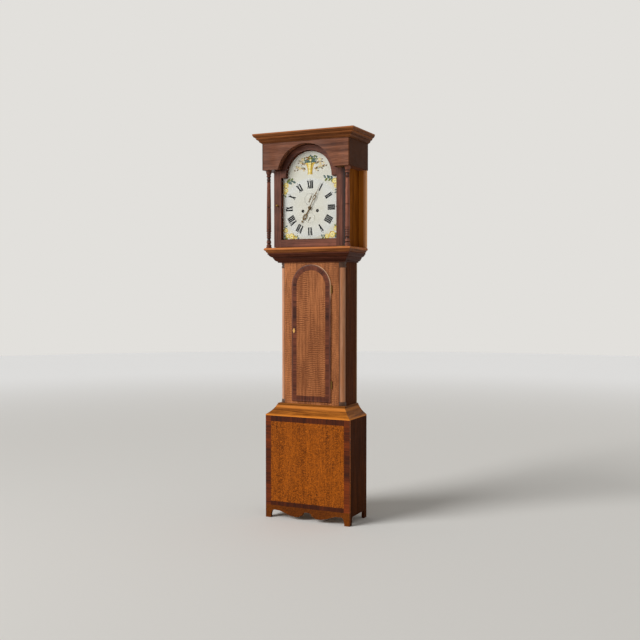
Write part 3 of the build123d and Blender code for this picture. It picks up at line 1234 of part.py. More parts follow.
def line(x):
    """The gut from the barrel, round under the pulley and up to its knot on the seatboard."""
    fall, rise = x - PULLEY_RADIUS, x + PULLEY_RADIUS
    with BuildLine(Plane(origin=(0, y_at(DRUM_MID), 0), x_dir=(1, 0, 0), z_dir=(0, -1, 0))) as route:
        Line((fall, WINDING_Z), (fall, PULLEY_Z))
        ThreePointArc((fall, PULLEY_Z), (x, PULLEY_Z - PULLEY_RADIUS), (rise, PULLEY_Z))
        Line((rise, PULLEY_Z), (rise, SEAT_TOP + KNOT / 2))
    with BuildSketch(Plane(origin=route.line @ 0, z_dir=route.line % 0)) as section:
        Circle(LINE)
    sweep(section.sketch, path=route.line)
    with Locations((rise, y_at(DRUM_MID), SEAT_TOP + KNOT / 2)):
        Cylinder(5 * LINE, KNOT)


with BuildPart() as going_stirrup:
    stirrup(WINDING_OUT)

with BuildPart() as going_weight:
    weight(WINDING_OUT)

with BuildPart() as going_pulley:
    pulley(WINDING_OUT)

with BuildPart() as going_line:
    line(WINDING_OUT)

with BuildPart() as strike_stirrup:
    stirrup(-WINDING_OUT)

with BuildPart() as strike_weight:
    weight(-WINDING_OUT)

with BuildPart() as strike_pulley:
    pulley(-WINDING_OUT)

with BuildPart() as strike_line:
    line(-WINDING_OUT)

# Pendulum
with BuildPart() as pendulum_rod:
    rod_top = SWING_Z - SPRING_LENGTH
    rod_bottom = BOB_Z - BOB_RADIUS - NUT - ROD_END
    block_half, block_deep = SPRING_BLOCK_HALF
    spring_half, spring_deep = SPRING_HALF
    with Locations((0, y_at(PENDULUM_DEPTH), (rod_top + rod_bottom) / 2)):
        Cylinder(ROD, rod_top - rod_bottom)
    slab((-block_half, block_half), (PENDULUM_DEPTH - block_deep, PENDULUM_DEPTH + block_deep),
         (rod_top - SPRING_BLOCK[0], rod_top + SPRING_BLOCK[1]))
    slab((-spring_half, spring_half), (PENDULUM_DEPTH - spring_deep, PENDULUM_DEPTH + spring_deep),
         (rod_top, SWING_Z))

with BuildPart() as pendulum_bob:
    with BuildSketch(Plane(origin=(0, y_at(PENDULUM_DEPTH), BOB_Z), x_dir=(1, 0, 0), z_dir=(0, 0, 1))):
        with BuildLine():
            crown, swell, edge = BOB_THICKNESS / 2, 0.36 * BOB_THICKNESS, 0.05 * BOB_THICKNESS
            Line((0, -crown), (0, crown))
            ThreePointArc((0, crown), (0.55 * BOB_RADIUS, swell), (BOB_RADIUS, edge))
            Line((BOB_RADIUS, edge), (BOB_RADIUS, -edge))
            ThreePointArc((BOB_RADIUS, -edge), (0.55 * BOB_RADIUS, -swell), (0, -crown))
        make_face()
    revolve(axis=Axis((0, y_at(PENDULUM_DEPTH), BOB_Z), (0, 1, 0)))
    with Locations((0, y_at(PENDULUM_DEPTH), BOB_Z)):
        Cylinder(ROD + RUNNING, 3 * BOB_RADIUS, mode=Mode.SUBTRACT)

with BuildPart() as rating_nut:
    with Locations((0, y_at(PENDULUM_DEPTH), BOB_Z - BOB_RADIUS - SEAT_GAP - NUT / 2)):
        Cylinder(NUT, NUT)
        Cylinder(ROD + RUNNING, NUT, mode=Mode.SUBTRACT)

nodes = {
    "base_front_panel": [base_front_panel], "base_crossbanding": [base_crossbanding],
    "base_apron": [base_apron], "base_sides": [base_sides], "base_floor": [base_floor],
    "backboard": [backboard], "trunk_sides": [trunk_sides], "trunk_front_frame": [trunk_front_frame],
    "quarter_columns": [quarter_columns], "seatboard": [seatboard],
    "shoulder_moulding": [shoulder_front, shoulder_returns],
    "throat_moulding": [throat_front, throat_returns],
    "trunk_hinge_leaves": [trunk_hinge_leaves], "trunk_door_panel": [trunk_door_panel],
    "trunk_door_crossbanding": [trunk_door_crossbanding], "trunk_door_lip": [trunk_door_lip],
    "trunk_door_escutcheon": [trunk_door_escutcheon], "trunk_door_lock": [trunk_door_lock],
    "trunk_door_hinges": [trunk_door_hinges], "hood_base_moulding": [hood_base_front, hood_base_returns],
    "hood_sides": [hood_sides, hood_ears], "hood_frieze": [hood_frieze_front, hood_frieze_sides],
    "hood_cornice": [cornice_front, cornice_returns], "hood_top_board": [hood_top_board],
    "hood_mask": [hood_mask], "hood_columns": [hood_columns],
    "hood_door_frame": [hood_door_stiles, hood_door_rail, hood_door_head],
    "hood_door_glass": [hood_door_glass],
    "hood_door_knob": [hood_door_knob], "hood_door_pivots": [hood_door_pivots], "dial_plate": [dial_plate],
    "minute_hand": [minute_hand], "hour_hand": [hour_hand], "seconds_hand": [seconds_hand],
    "calendar_hand": [calendar_hand], "movement_front_plate": [movement_front_plate],
    "movement_back_plate": [movement_back_plate], "movement_pillars": [movement_pillars],
    "back_cock": [back_cock], "bell": [bell, bell_stand],
    "going_great_wheel": [going_great_wheel], "going_barrel": [going_barrel],
    "strike_great_wheel": [strike_great_wheel], "strike_barrel": [strike_barrel],
    "centre_wheel": [centre_wheel], "minute_wheel": [minute_wheel], "hour_wheel": [hour_wheel],
    "third_wheel": [third_wheel], "escape_wheel": [escape_wheel], "anchor": [anchor],
    "pin_wheel": [pin_wheel], "hammer": [hammer],
    "going_weight": [going_stirrup, going_weight], "going_pulley": [going_pulley], "going_line": [going_line],
    "strike_weight": [strike_stirrup, strike_weight], "strike_pulley": [strike_pulley],
    "strike_line": [strike_line], "pendulum_rod": [pendulum_rod, rating_nut], "pendulum_bob": [pendulum_bob],
}

os.makedirs("parts", exist_ok=True)
for name, blocks in nodes.items():
    piece = blocks[0].part if len(blocks) == 1 else Compound(children=[block.part for block in blocks])
    piece.label = name
    export_step(piece, f"parts/{name}.step")
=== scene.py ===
"""Longcase clock: oak and mahogany finishes, brass and steel, a painted arched dial and gut lines,
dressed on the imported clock. Metres, +Z up, front towards -Y."""

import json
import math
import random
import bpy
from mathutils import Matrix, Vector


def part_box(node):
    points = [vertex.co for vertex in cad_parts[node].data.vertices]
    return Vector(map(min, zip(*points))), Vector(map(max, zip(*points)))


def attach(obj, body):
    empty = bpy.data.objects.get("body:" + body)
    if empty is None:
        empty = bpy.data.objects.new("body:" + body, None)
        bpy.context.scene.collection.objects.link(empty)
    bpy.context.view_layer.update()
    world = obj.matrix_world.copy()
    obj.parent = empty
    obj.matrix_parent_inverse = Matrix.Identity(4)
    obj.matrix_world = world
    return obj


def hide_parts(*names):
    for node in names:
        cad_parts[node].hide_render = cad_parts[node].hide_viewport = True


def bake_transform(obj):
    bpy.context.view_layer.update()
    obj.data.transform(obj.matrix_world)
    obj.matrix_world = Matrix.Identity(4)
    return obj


bl_info = {
    "name": "Longcase Clock",
    "version": (1, 0, 0),
    "blender": (4, 5, 0),
    "location": "View3D > Sidebar > Clock",
    "description": "Finishes a weight-driven longcase clock and paints its dial",
    "category": "Object",
}

from collections import Counter

import bmesh
import bpy
from bpy.props import FloatProperty, FloatVectorProperty, IntProperty, PointerProperty
from mathutils import Matrix, Vector

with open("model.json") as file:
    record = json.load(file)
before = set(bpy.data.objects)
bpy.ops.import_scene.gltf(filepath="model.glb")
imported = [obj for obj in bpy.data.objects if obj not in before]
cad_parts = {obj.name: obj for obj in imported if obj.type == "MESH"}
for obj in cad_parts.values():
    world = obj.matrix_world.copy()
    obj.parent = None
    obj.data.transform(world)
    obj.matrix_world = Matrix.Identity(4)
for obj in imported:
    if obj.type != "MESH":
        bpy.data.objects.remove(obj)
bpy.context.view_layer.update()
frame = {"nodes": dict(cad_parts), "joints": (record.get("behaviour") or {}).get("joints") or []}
JOINTS = {joint["name"]: joint for joint in frame["joints"]}


def pivot(joint):
    """Where a joint sits, in metres."""
    return Vector(JOINTS[joint]["pos_m"])


def linear(red, green, blue):
    """A colour read off a picture, 0 to 255, as the linear values that shaders use."""
    values = []
    for channel in (red, green, blue):
        share = channel / 255
        values.append(share / 12.92 if share <= 0.04045 else ((share + 0.055) / 1.055) ** 2.4)
    return tuple(values)


def colour(name, about, red, green, blue):
    """A colour property with its default given as it looks on screen."""
    return FloatVectorProperty(name=name, description=about, subtype="COLOR", size=3, min=0, max=1,
                               default=linear(red, green, blue))


def length(name, about, metres):
    """A length property."""
    return FloatProperty(name=name, description=about, default=metres, min=0, unit="LENGTH", precision=4)


class ClockSizes(bpy.types.PropertyGroup):
    """Sizes of what is painted and strung."""

    numeral_foot: length("Numeral foot", "Radius of the feet of the hour numerals", 0.1075)
    numeral_height: length("Numeral height", "Height of the hour numerals", 0.0412)
    minute_ring: length("Minute ring", "Radius of the ring of minute dots", 0.1565)
    seconds_ring: length("Seconds ring", "Radius of the ring of seconds", 0.0345)
    date_ring: length("Date ring", "Radius of the ring of dates", 0.0295)
    paint: length("Paint", "How far the painted figures stand off the dial", 0.00015)
    gut: length("Gut", "Radius of the gut lines", 0.0009)
    collet: length("Collet", "Radius of the boss that holds the minute hand", 0.0088)
    collet_bore: length("Collet bore", "Radius of the hole in the boss", 0.0026)
    collet_rise: length("Collet rise", "How far the boss stands out", 0.0022)
    seed: IntProperty(name="Seed", description="Varies the painted flowers", default=11, min=0)


class ClockColours(bpy.types.PropertyGroup):
    """Colours of the woods, metals and paints."""

    trunk_oak: colour("Trunk oak", "Oak of the trunk's front", 186, 117, 70)
    trunk_dark: colour("Trunk oak grain", "Darker grain of the trunk's oak", 112, 60, 30)
    golden_oak: colour("Golden oak", "Quartered oak of the base", 154, 80, 15)
    golden_dark: colour("Golden oak grain", "Darker grain of the base's oak", 80, 36, 5)
    # Painted shade: the sides' oak is a darker copy of the front's, for the shade they stand in.
    shaded_side_oak: colour("Side oak", "Shaded oak of the trunk's and base's sides", 108, 56, 23)
    shaded_side_dark: colour("Side oak grain", "Darker grain of the sides", 57, 25, 8)
    cheek_oak: colour("Hood side oak", "Oak of the hood's sides", 178, 104, 34)
    cheek_dark: colour("Hood side grain", "Darker grain of the hood's sides", 106, 55, 10)
    ear_oak: colour("Ear oak", "Oak of the hood's back ears", 208, 128, 44)
    # Painted highlight: the ears' outer edges are painted pale as if catching light.
    ear_rim_highlight: colour("Ear rim highlight", "Painted highlight on the outer edge of the hood's back ears", 250, 188, 134)
    shoulder_oak: colour("Shoulder oak", "Oak of the shoulder moulding", 206, 124, 44)
    cornice_oak: colour("Cornice", "Wood of the cornice and the hood's nosing", 146, 88, 46)
    cornice_dark: colour("Cornice grain", "Darker grain of the cornice", 78, 40, 18)
    frieze: colour("Frieze mahogany", "Mahogany of the frieze", 148, 94, 68)
    frieze_dark: colour("Frieze grain", "Darker grain of the frieze", 72, 40, 28)
    mahogany: colour("Mahogany", "Mahogany of the hood door and columns", 138, 84, 64)
    mahogany_dark: colour("Mahogany grain", "Darker grain of the mahogany", 70, 37, 28)
    throat: colour("Throat mahogany", "Mahogany of the moulding under the hood", 96, 49, 30)
    band: colour("Crossbanding", "Mahogany of the door's band", 128, 68, 44)
    band_dark: colour("Crossbanding grain", "Darker grain of the door's band", 54, 24, 15)
    # Pale tint of the lip's rubbed edge and of its painted highlight.
    lip_wear_and_highlight: colour("Lip wear and highlight", "Rubbed edge and painted highlight of the door's lip", 236, 190, 150)
    base_band: colour("Base band", "Mahogany of the base's band", 131, 55, 12)
    base_band_dark: colour("Base band grain", "Darker grain of the base's band", 50, 18, 5)
    # Lightened in part as a painted highlight on the round shafts.
    quarter: colour("Quarter column", "Pale shafts at the trunk's corners", 214, 160, 126)
    deal: colour("Deal", "Softwood of the hidden boards", 176, 136, 92)
    brass: colour("Brass", "Lacquered brass", 196, 152, 82)
    steel: colour("Steel", "Bright steel", 150, 150, 152)
    iron: colour("Iron", "Dull cast iron", 62, 62, 65)
    cream: colour("Dial paint", "Ground of the dial", 214, 213, 200)
    chapter: colour("Chapter paint", "Whiter ground under the numerals", 212, 214, 210)
    ink: colour("Ink", "Numerals and dots", 14, 14, 20)
    gold: colour("Gold paint", "Urn and blossoms", 232, 196, 78)
    pale: colour("Pale paint", "Light petals", 250, 238, 168)
    blush: colour("Blush paint", "Cream petals of the arch", 228, 210, 172)
    ochre: colour("Ochre paint", "Shaded petals and stems", 166, 114, 42)
    leaf: colour("Leaf paint", "Green leaves", 112, 124, 58)
    slate: colour("Slate paint", "Blue-grey leaves", 86, 110, 106)
    gut: colour("Gut", "Drive lines", 172, 140, 90)
    floor: colour("Floor", "Studio floor and backdrop", 226, 224, 220)


class Term:
    """A shader socket that takes part in Python arithmetic; each operator adds a Math node."""

    def __init__(self, nodes, socket):
        self.nodes = nodes
        self.socket = socket

    def __add__(self, other):
        return self.nodes.math("ADD", self, other)

    __radd__ = __add__

    def __sub__(self, other):
        return self.nodes.math("SUBTRACT", self, other)

    def __rsub__(self, other):
        return self.nodes.math("SUBTRACT", other, self)

    def __mul__(self, other):
        return self.nodes.math("MULTIPLY", self, other)

    __rmul__ = __mul__

    def __truediv__(self, other):
        return self.nodes.math("DIVIDE", self, other)

    def __gt__(self, other):
        return self.nodes.math("GREATER_THAN", self, other)

    def __lt__(self, other):
        return self.nodes.math("LESS_THAN", self, other)

    def __abs__(self):
        return self.nodes.math("ABSOLUTE", self)

    def above(self, low, high):
        """0 below low, 1 above high and a smooth step between."""
        return self.nodes.node("ShaderNodeMapRange", {"interpolation_type": "SMOOTHSTEP"},
                               {0: self, 1: low, 2: high, 3: 0.0, 4: 1.0})


class Nodes:
    """A tree of shader nodes."""

    def __init__(self, tree):
        self.tree = tree

    def node(self, kind, settings, inputs, output=0):
        """A node of any kind: its settings first, then the values or links of its sockets."""
        node = self.tree.nodes.new(kind)
        for key, value in settings.items():
            setattr(node, key, value)
        for key, value in inputs.items():
            if isinstance(value, Term):
                self.tree.links.new(value.socket, node.inputs[key])
            else:
                node.inputs[key].default_value = value
        return Term(self, node.outputs[output])

    def math(self, operation, first, second=0.0):
        """A Math node on one or two values."""
        return self.node("ShaderNodeMath", {"operation": operation}, {0: first, 1: second})

    def hypot(self, first, second):
        """Distance across two sides at right angles."""
        return self.math("SQRT", first * first + second * second)


class Finish(Nodes):
    """One material: a shader with the nodes that feed it."""

    def __init__(self, name, **values):
        self.material = bpy.data.materials.new(name)
        self.material.use_nodes = True
        super().__init__(self.material.node_tree)
        self.shader = self.tree.nodes["Principled BSDF"]
        self.place = self.node("ShaderNodeTexCoord", {}, {}, "Object")
        self.axes = [self.node("ShaderNodeSeparateXYZ", {}, {0: self.place}, axis) for axis in "XYZ"]
        self.x, self.y, self.z = self.axes
        for socket, value in values.items():
            self.shader.inputs[socket.replace("_", " ")].default_value = value

    def noise(self, vector, scale, detail=3.0, rough=0.55, twist=0.0):
        """Smooth noise, 0 to 1."""
        return self.node("ShaderNodeTexNoise", {}, {"Vector": vector, "Scale": scale, "Detail": detail,
                                                    "Roughness": rough, "Distortion": twist})

    def fibres(self, axes, across, along, detail=3.0, rough=0.55, twist=0.0):
        """Noise drawn out along the last of three axes; across and along are its waves to the metre."""
        x, y, z = axes
        vector = self.node("ShaderNodeCombineXYZ", {}, {0: x * across, 1: y * across, 2: z * along})
        return self.noise(vector, 1.0, detail, rough, twist)

    def mix(self, share, first, second):
        """One colour over another by a share."""
        def rgba(value):
            return value if isinstance(value, Term) else (*value[:3], 1.0)
        return self.node("ShaderNodeMix", {"data_type": "RGBA"},
                         {0: share, 6: rgba(first), 7: rgba(second)}, 2)

    def pick(self, which, first, second):
        """The first value where which is 0, the second where it is 1."""
        return self.node("ShaderNodeMix", {"data_type": "FLOAT"}, {0: which, 2: first, 3: second})

    def away(self, spot):
        """Distance from a spot as seen from the front."""
        return self.hypot(self.x - spot.x, self.z - spot.z)

    def bump(self, height, depth, strength):
        """Link a height field to the shader's normal."""
        self.link("Normal", self.node("ShaderNodeBump", {}, {"Strength": strength, "Distance": depth,
                                                             "Height": height}))

    def link(self, socket, value):
        """Feed a socket of the shader."""
        self.tree.links.new(value.socket, self.shader.inputs[socket])


# Reaches of wear, painted highlights, painted shade and joints on the woods, in metres.
SOFT_EDGE = 0.001
EAR_RIM_HIGHLIGHT = 0.024
LIP_WEAR_AND_HIGHLIGHT = 0.005
# Where the lip's painted highlight lies: right of the middle, from below the arch's spring up.
LIP_HIGHLIGHT_ACROSS = (-0.01, 0.07)
LIP_HIGHLIGHT_BELOW_SPRING = (0.09, 0.02)
STILE_JOINT = 0.0012
HINGE_SHADE = (0.013, 0.007)

# Ripple figure of a board: radians to the metre up it, and how far they waver.
RIPPLE = 598
RIPPLE_WAVER = 24

# The hood columns' plain shafts and the ring that parts them, as shares of the columns' height.
SHAFT_FOOT = 0.25
SHAFT_TOP = 0.85
SHAFT_FADE = 0.01
SHAFT_RING = 0.525
SHAFT_RING_HALF = (0.006, 0.01)

# The dial's ground: lengths in metres, then tints.
CHAPTER_FADE = 0.006
WINDING_HOLE_SHADE = (0.0084, 0.0096)
GROUND_DEPTH = (0.0004, 0.0008)
YELLOWING = (0.86, 0.8, 0.66)
CRAZE_TINT = (0.3, 0.24, 0.16)
HOLE_SHADE_TINT = (0.012, 0.008, 0.005)
RUST_TINT = (0.1, 0.05, 0.025)


def shade(tint, share):
    """A tint made darker or paler by a share."""
    return tuple(min(1.0, share * part) for part in tint)


def grained(finish, axes, light, dark, figure=1.0, pores=1.0):
    """Wood tone, pores and streaks; the grain runs along the last of three axes."""
    broad = finish.fibres(axes, across=15, along=1.7, twist=0.9)
    streak = finish.fibres(axes, across=105, along=4.2, detail=4, rough=0.6, twist=0.4)
    fine = finish.fibres(axes, across=480, along=17, rough=0.6)
    patch = finish.fibres(axes, across=3.1, along=2.3, detail=2, rough=0.5)
    share = broad.above(0.3, 0.7) * (0.5 * figure) + streak.above(0.33, 0.67) * 0.5
    tone = finish.mix(share, dark, light)
    tone = finish.mix(patch.above(0.4, 0.75) * 0.3, tone, shade(dark, 0.6))
    pore = (1 - fine.above(0.36, 0.5)) * (0.45 * pores)
    tone = finish.mix(pore, tone, shade(dark, 0.4))
    return tone, pore, streak


def flaked(finish, tone, light, dark, strength):
    """Quartered oak: short pale flecks of the rays across a fine upright grain."""
    fleck = finish.fibres(finish.axes, across=140, along=270, detail=2, rough=0.6, twist=1.3)
    grain = finish.fibres(finish.axes, across=260, along=24, detail=4, rough=0.65, twist=0.5)
    tone = finish.mix((1 - grain.above(0.38, 0.54)) * strength, tone, shade(dark, 0.7))
    return finish.mix(fleck.above(0.5, 0.58) * strength, tone, shade(light, 1.6))


def rippled(finish, tone, dark, strength):
    """Ripple figure: fine wavering lines across the grain, strongest in drifting patches."""
    drift = finish.fibres((finish.x, 0.0, finish.z), across=11, along=4, rough=0.6, twist=0.8)
    waver = finish.fibres(finish.axes, across=17, along=10, rough=0.6)
    line = finish.math("SINE", finish.z * RIPPLE + waver * RIPPLE_WAVER).above(-0.1, 0.95)
    return finish.mix(line * drift.above(0.3, 0.6) * strength, tone, shade(dark, 0.75))


def wood(name, light, dark, run="z", figure=1.0, flake=0.0, ripple=0.0, gloss=0.4, polish=0.05, pores=1.0,
         sheen=0.1, shaded_flanks=None):
    """A polished wood whose grain runs along x or z; flanks is a half width and a darker tint past it,
    painted shade on the side faces, which also lose their polish.
    """
    finish = Finish(name, Coat_Roughness=0.25, Specular_IOR_Level=sheen)
    axes = finish.axes if run == "z" else finish.axes[::-1]
    tone, pore, streak = grained(finish, axes, light, dark, figure, pores)
    if flake:
        tone = flaked(finish, tone, light, dark, flake)
    if ripple:
        tone = rippled(finish, tone, dark, ripple)
    # Painted shade: past the half width the side faces are darkened.
    if shaded_flanks:
        half, dull = shaded_flanks
        in_flank_shade = abs(finish.x) > half
        tone = finish.mix(in_flank_shade * 0.85, tone, dull)
        polish = polish * (1 - in_flank_shade)
    return polished(finish, tone, pore, streak, gloss, polish)


def polished(finish, tone, pore, streak, gloss, polish):
    """Wax polish over a wood: duller in the pores, worn in patches."""
    rub = finish.noise(finish.place, 7.0, rough=0.6)
    finish.link("Base Color", tone)
    finish.link("Roughness", gloss + rub * 0.14 + pore * 0.3)
    if polish:
        finish.link("Coat Weight", polish * rub.above(0.2, 0.7))
    finish.bump(streak * 0.5 - pore, depth=0.0004, strength=0.5)
    return finish


def cheeks(name, light, dark, ears, highlit_rims):
    """Hood sides with ears, and a painted highlight down the ears' outer edges; the ears and that highlight
    are each a half width and a tint.
    """
    finish = Finish(name, Coat_Roughness=0.25, Specular_IOR_Level=0.02)
    tone, pore, streak = grained(finish, (finish.y, finish.x, finish.z), light, dark)
    board = finish.fibres((0.0, finish.y, 0.0), across=34, along=0, detail=1)
    tone = finish.mix(board.above(0.45, 0.6) * 0.18, tone, shade(dark, 0.7))
    half, tint = ears
    tone = finish.mix((abs(finish.x) > half) * (0.85 - streak * 0.5), tone, tint)
    half, tint = highlit_rims
    # Painted highlight: the ears' outer edges are painted pale.
    tone = finish.mix(abs(finish.x).above(half - EAR_RIM_HIGHLIGHT, half - SOFT_EDGE), tone, tint)
    return polished(finish, tone, pore, streak, gloss=0.45, polish=0.0)


def run_round(name, light, dark, edges):
    """A moulding that runs round the case, its grain along the run; edges are heights painted paler, as
    highlights with rubbed wear, and darker, as painted shade.
    """
    finish = Finish(name, Coat_Roughness=0.22, Specular_IOR_Level=0.05)
    axes = (finish.z, finish.z * 0.3, finish.x + finish.y)
    tone, pore, streak = grained(finish, axes, light, dark, figure=0.8)
    # Painted highlights and shade: fillets and noses paler where light catches them, creases darker where
    # shade falls.
    for level, spread, painted_light_gain in edges:
        painted_line = 1 - abs(finish.z - level).above(0.0, spread)
        tone = finish.mix(painted_line * 0.65, tone, shade(light, painted_light_gain))
    return polished(finish, tone, pore, streak, gloss=0.38, polish=0.02)


def joined_frame(name, light, dark, stile, hinge):
    """A framed door: upright grain on its stiles, level grain on its rail and head, and painted shade along
    its hinge edge.
    """
    finish = Finish(name, Coat_Roughness=0.22, Specular_IOR_Level=0.12)
    upright, pore, streak = grained(finish, finish.axes, light, dark, figure=1.1)
    level = grained(finish, finish.axes[::-1], light, dark, figure=1.1)[0]
    tone = finish.mix(abs(finish.x) > stile, level, upright)
    smoke = finish.noise(finish.place, 8.5, detail=2, rough=0.5, twist=0.6)
    tone = finish.mix(smoke.above(0.46, 0.68) * 0.5, tone, shade(dark, 0.7))
    joint = 1 - abs(abs(finish.x) - stile).above(0.0, STILE_JOINT)
    tone = finish.mix(joint * 0.6, tone, shade(dark, 0.35))
    # Painted shade: the gap at the hinge edge, beside the column, is darkened.
    gap_shade = finish.x.above(*(hinge - reach for reach in HINGE_SHADE))
    tone = finish.mix(gap_shade * 0.8, tone, shade(dark, 0.3))
    return polished(finish, tone, pore, streak, gloss=0.36, polish=0.08)


def banded(name, light, dark, inner, spring=None, rails=0.0):
    """Crossbanding: its grain runs across the band, radially round an arch above the spring.
    The level parts are darker by rails."""
    finish = Finish(name, Coat_Roughness=0.22, Specular_IOR_Level=0.12)
    beside = abs(finish.x) > inner
    along = finish.pick(beside, finish.x, finish.z)
    across = finish.pick(beside, finish.z, finish.x)
    if spring is not None:
        rise = finish.z - spring
        over = rise > 0.0
        along = finish.pick(over, along, finish.math("ARCTAN2", rise, finish.x) * inner)
        across = finish.pick(over, across, finish.hypot(finish.x, rise))
    tone, pore, streak = grained(finish, (along, finish.y, across), light, dark, figure=1.2)
    dusk = finish.fibres((along, 0.0, 0.0), across=5, along=0, detail=2)
    tone = finish.mix(dusk.above(0.45, 0.65) * 0.6, tone, shade(dark, 0.6))
    tone = finish.mix((1 - beside) * rails, tone, shade(dark, 0.5))
    return polished(finish, tone, pore, streak, gloss=0.38, polish=0.05)


def lip_with_painted_highlight(name, light, dark, wear_and_highlight_tint, half, spring):
    """A door's lip, rubbed pale along its outer edge, with a painted highlight on that edge at the upper
    right, round an arch above the spring.
    """
    finish = Finish(name, Coat_Roughness=0.2, Specular_IOR_Level=0.2)
    tone, pore, streak = grained(finish, finish.axes, light, dark)
    reach = finish.hypot(finish.x, finish.math("MAXIMUM", finish.z - spring, 0.0))
    rub = finish.noise(finish.place, 16.0)
    # Painted highlight: the lip's edge on the upper right is painted pale where light would catch it.
    painted_highlight = (finish.x.above(*LIP_HIGHLIGHT_ACROSS)
               * finish.z.above(*(spring - drop for drop in LIP_HIGHLIGHT_BELOW_SPRING)))
    edge = reach.above(half - LIP_WEAR_AND_HIGHLIGHT, half - SOFT_EDGE)
    tone = finish.mix(edge * (rub.above(0.35, 0.7) * 0.15 + painted_highlight * 0.85), tone, wear_and_highlight_tint)
    return polished(finish, tone, pore, streak, gloss=0.3, polish=0.2)


def metal(name, tint, dull, tarnish, shine=1.0, front=None):
    """A metal with soft tarnish and rubbing marks; front is a y and a darker metal ahead of it, made dull and
    dark as painted shade.
    """
    finish = Finish(name, Metallic=shine)
    cloud = finish.noise(finish.place, 38.0, detail=4, rough=0.6)
    marks = finish.fibres(finish.axes, across=900, along=120, detail=2)
    tone = finish.mix(cloud.above(0.42, 0.75) * tarnish, tint, shade(tint, 0.45))
    if front:
        # Painted shade: ahead of the plate the arbors are dark and dull, for the shade inside the winding
        # holes.
        ahead = finish.y < front[0]
        tone = finish.mix(ahead, tone, shade(front[1], 0.3))
        finish.link("Metallic", shine * (1 - ahead))
    finish.link("Base Color", tone)
    finish.link("Roughness", dull + cloud * 0.2 + marks * 0.06)
    finish.bump(marks, depth=0.00004, strength=0.3)
    return finish


def paint(name, tint):
    """A brushed paint whose tint wavers between strokes."""
    finish = Finish(name, Specular_IOR_Level=0.1)
    stroke = finish.noise(finish.place, 210.0, rough=0.6, twist=0.5)
    finish.link("Base Color", finish.mix(stroke.above(0.3, 0.7) * 0.3, tint, shade(tint, 0.5)))
    finish.link("Roughness", 0.5 + stroke * 0.12)
    return finish


def dial_ground(tint, ring, iron, centre, inner, outer, holes, front):
    """Aged cream ground: soft yellowing, a whiter chapter ring, fine crazing, painted shade in and round the
    winding holes, an iron back.
    """
    finish = Finish("dial ground", Coat_Weight=0.15, Coat_Roughness=0.3)
    cloud = finish.noise(finish.place, 11.0, detail=4, rough=0.6)
    craze = finish.node("ShaderNodeTexVoronoi", {"feature": "DISTANCE_TO_EDGE"},
                        {"Vector": finish.place, "Scale": 150.0})
    yellowed = tuple(part * drop for part, drop in zip(tint, YELLOWING))
    tone = finish.mix(cloud.above(0.4, 0.8) * 0.5, tint, yellowed)
    reach = finish.away(centre)
    on_ring = reach.above(inner, outer) * (1 - reach.above(outer, outer + CHAPTER_FADE))
    tone = finish.mix(on_ring * 0.8, tone, ring)
    tone = finish.mix((1 - craze.above(0.0, 0.03)) * 0.14, tone, CRAZE_TINT)
    # Painted shade: the winding holes' walls and a ring round them are painted dark.
    for hole in holes:
        tone = finish.mix(1 - finish.away(hole).above(*WINDING_HOLE_SHADE), tone, HOLE_SHADE_TINT)
    rust = finish.mix(cloud.above(0.45, 0.7) * 0.6, iron, RUST_TINT)
    tone = finish.mix(finish.y.above(*(front + depth for depth in GROUND_DEPTH)), tone, rust)
    finish.link("Base Color", tone)
    finish.link("Roughness", 0.42 + cloud * 0.18)
    return finish


def turned_caps(name, light, dark, low, high, quirks):
    """A corner column: pale between dark turned ends, partly as a painted highlight, with painted shade down
    the grooves at its front and side edges.
    """
    finish = Finish(name, Coat_Roughness=0.2, Specular_IOR_Level=0.3)
    tone, pore, streak = grained(finish, finish.axes, light, dark, figure=0.9)
    inner, back, wide = quirks
    edge = (1 - abs(finish.x).above(inner, inner + wide)) + finish.y.above(back - wide, back)
    ends = finish.z.above(high, high + SOFT_EDGE) + (1 - finish.z.above(low - SOFT_EDGE, low))
    # Painted shade: the grooves beside the front frame and the side are darkened.
    tone = finish.mix(finish.math("MINIMUM", edge, 1.0) * 0.9, tone, shade(dark, 0.25))
    tone = finish.mix(ends * 0.92, tone, shade(dark, 0.1))
    return polished(finish, tone, pore, streak, gloss=0.3, polish=0.2)


def turned(name, light, dark, low, high):
    """A pair of turned columns, dark in the quirks of their turnings."""
    finish = Finish(name, Coat_Roughness=0.2, Specular_IOR_Level=0.12)
    tone, pore, streak = grained(finish, finish.axes, light, dark)
    radius = (high.y - low.y) / 2
    reach = finish.hypot(abs(finish.x) - (high.x - radius), finish.y - (low.y + radius))
    quirk = 1 - reach.above(0.6 * radius, 0.84 * radius)
    rise = (finish.z - low.z) / (high.z - low.z)
    over_foot = rise.above(SHAFT_FOOT - SHAFT_FADE, SHAFT_FOOT + SHAFT_FADE)
    under_top = 1 - rise.above(SHAFT_TOP - SHAFT_FADE, SHAFT_TOP + SHAFT_FADE)
    shaft = over_foot * under_top * abs(rise - SHAFT_RING).above(*SHAFT_RING_HALF)
    tone = finish.mix((1 - shaft) * (0.15 + quirk * 0.75), tone, shade(dark, 0.35))
    return polished(finish, tone, pore, streak, gloss=0.3, polish=0.12)


def put_on(finish, *names):
    """Give clock nodes a finish."""
    for name in names:
        slots = frame["nodes"][name].data.materials
        slots.clear()
        slots.append(finish.material)


def in_scene(name, mesh, finish):
    """Make a finished bmesh an object of the scene."""
    data = bpy.data.meshes.new(name)
    mesh.to_mesh(data)
    mesh.free()
    data.materials.append(finish.material)
    thing = bpy.data.objects.new(name, data)
    bpy.context.scene.collection.objects.link(thing)
    return thing


def new_piece(name, body, mesh, finish):
    """Make a finished bmesh a piece that rides on a body."""
    piece = in_scene(name, mesh, finish)
    if body:
        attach(piece, body)
    return piece


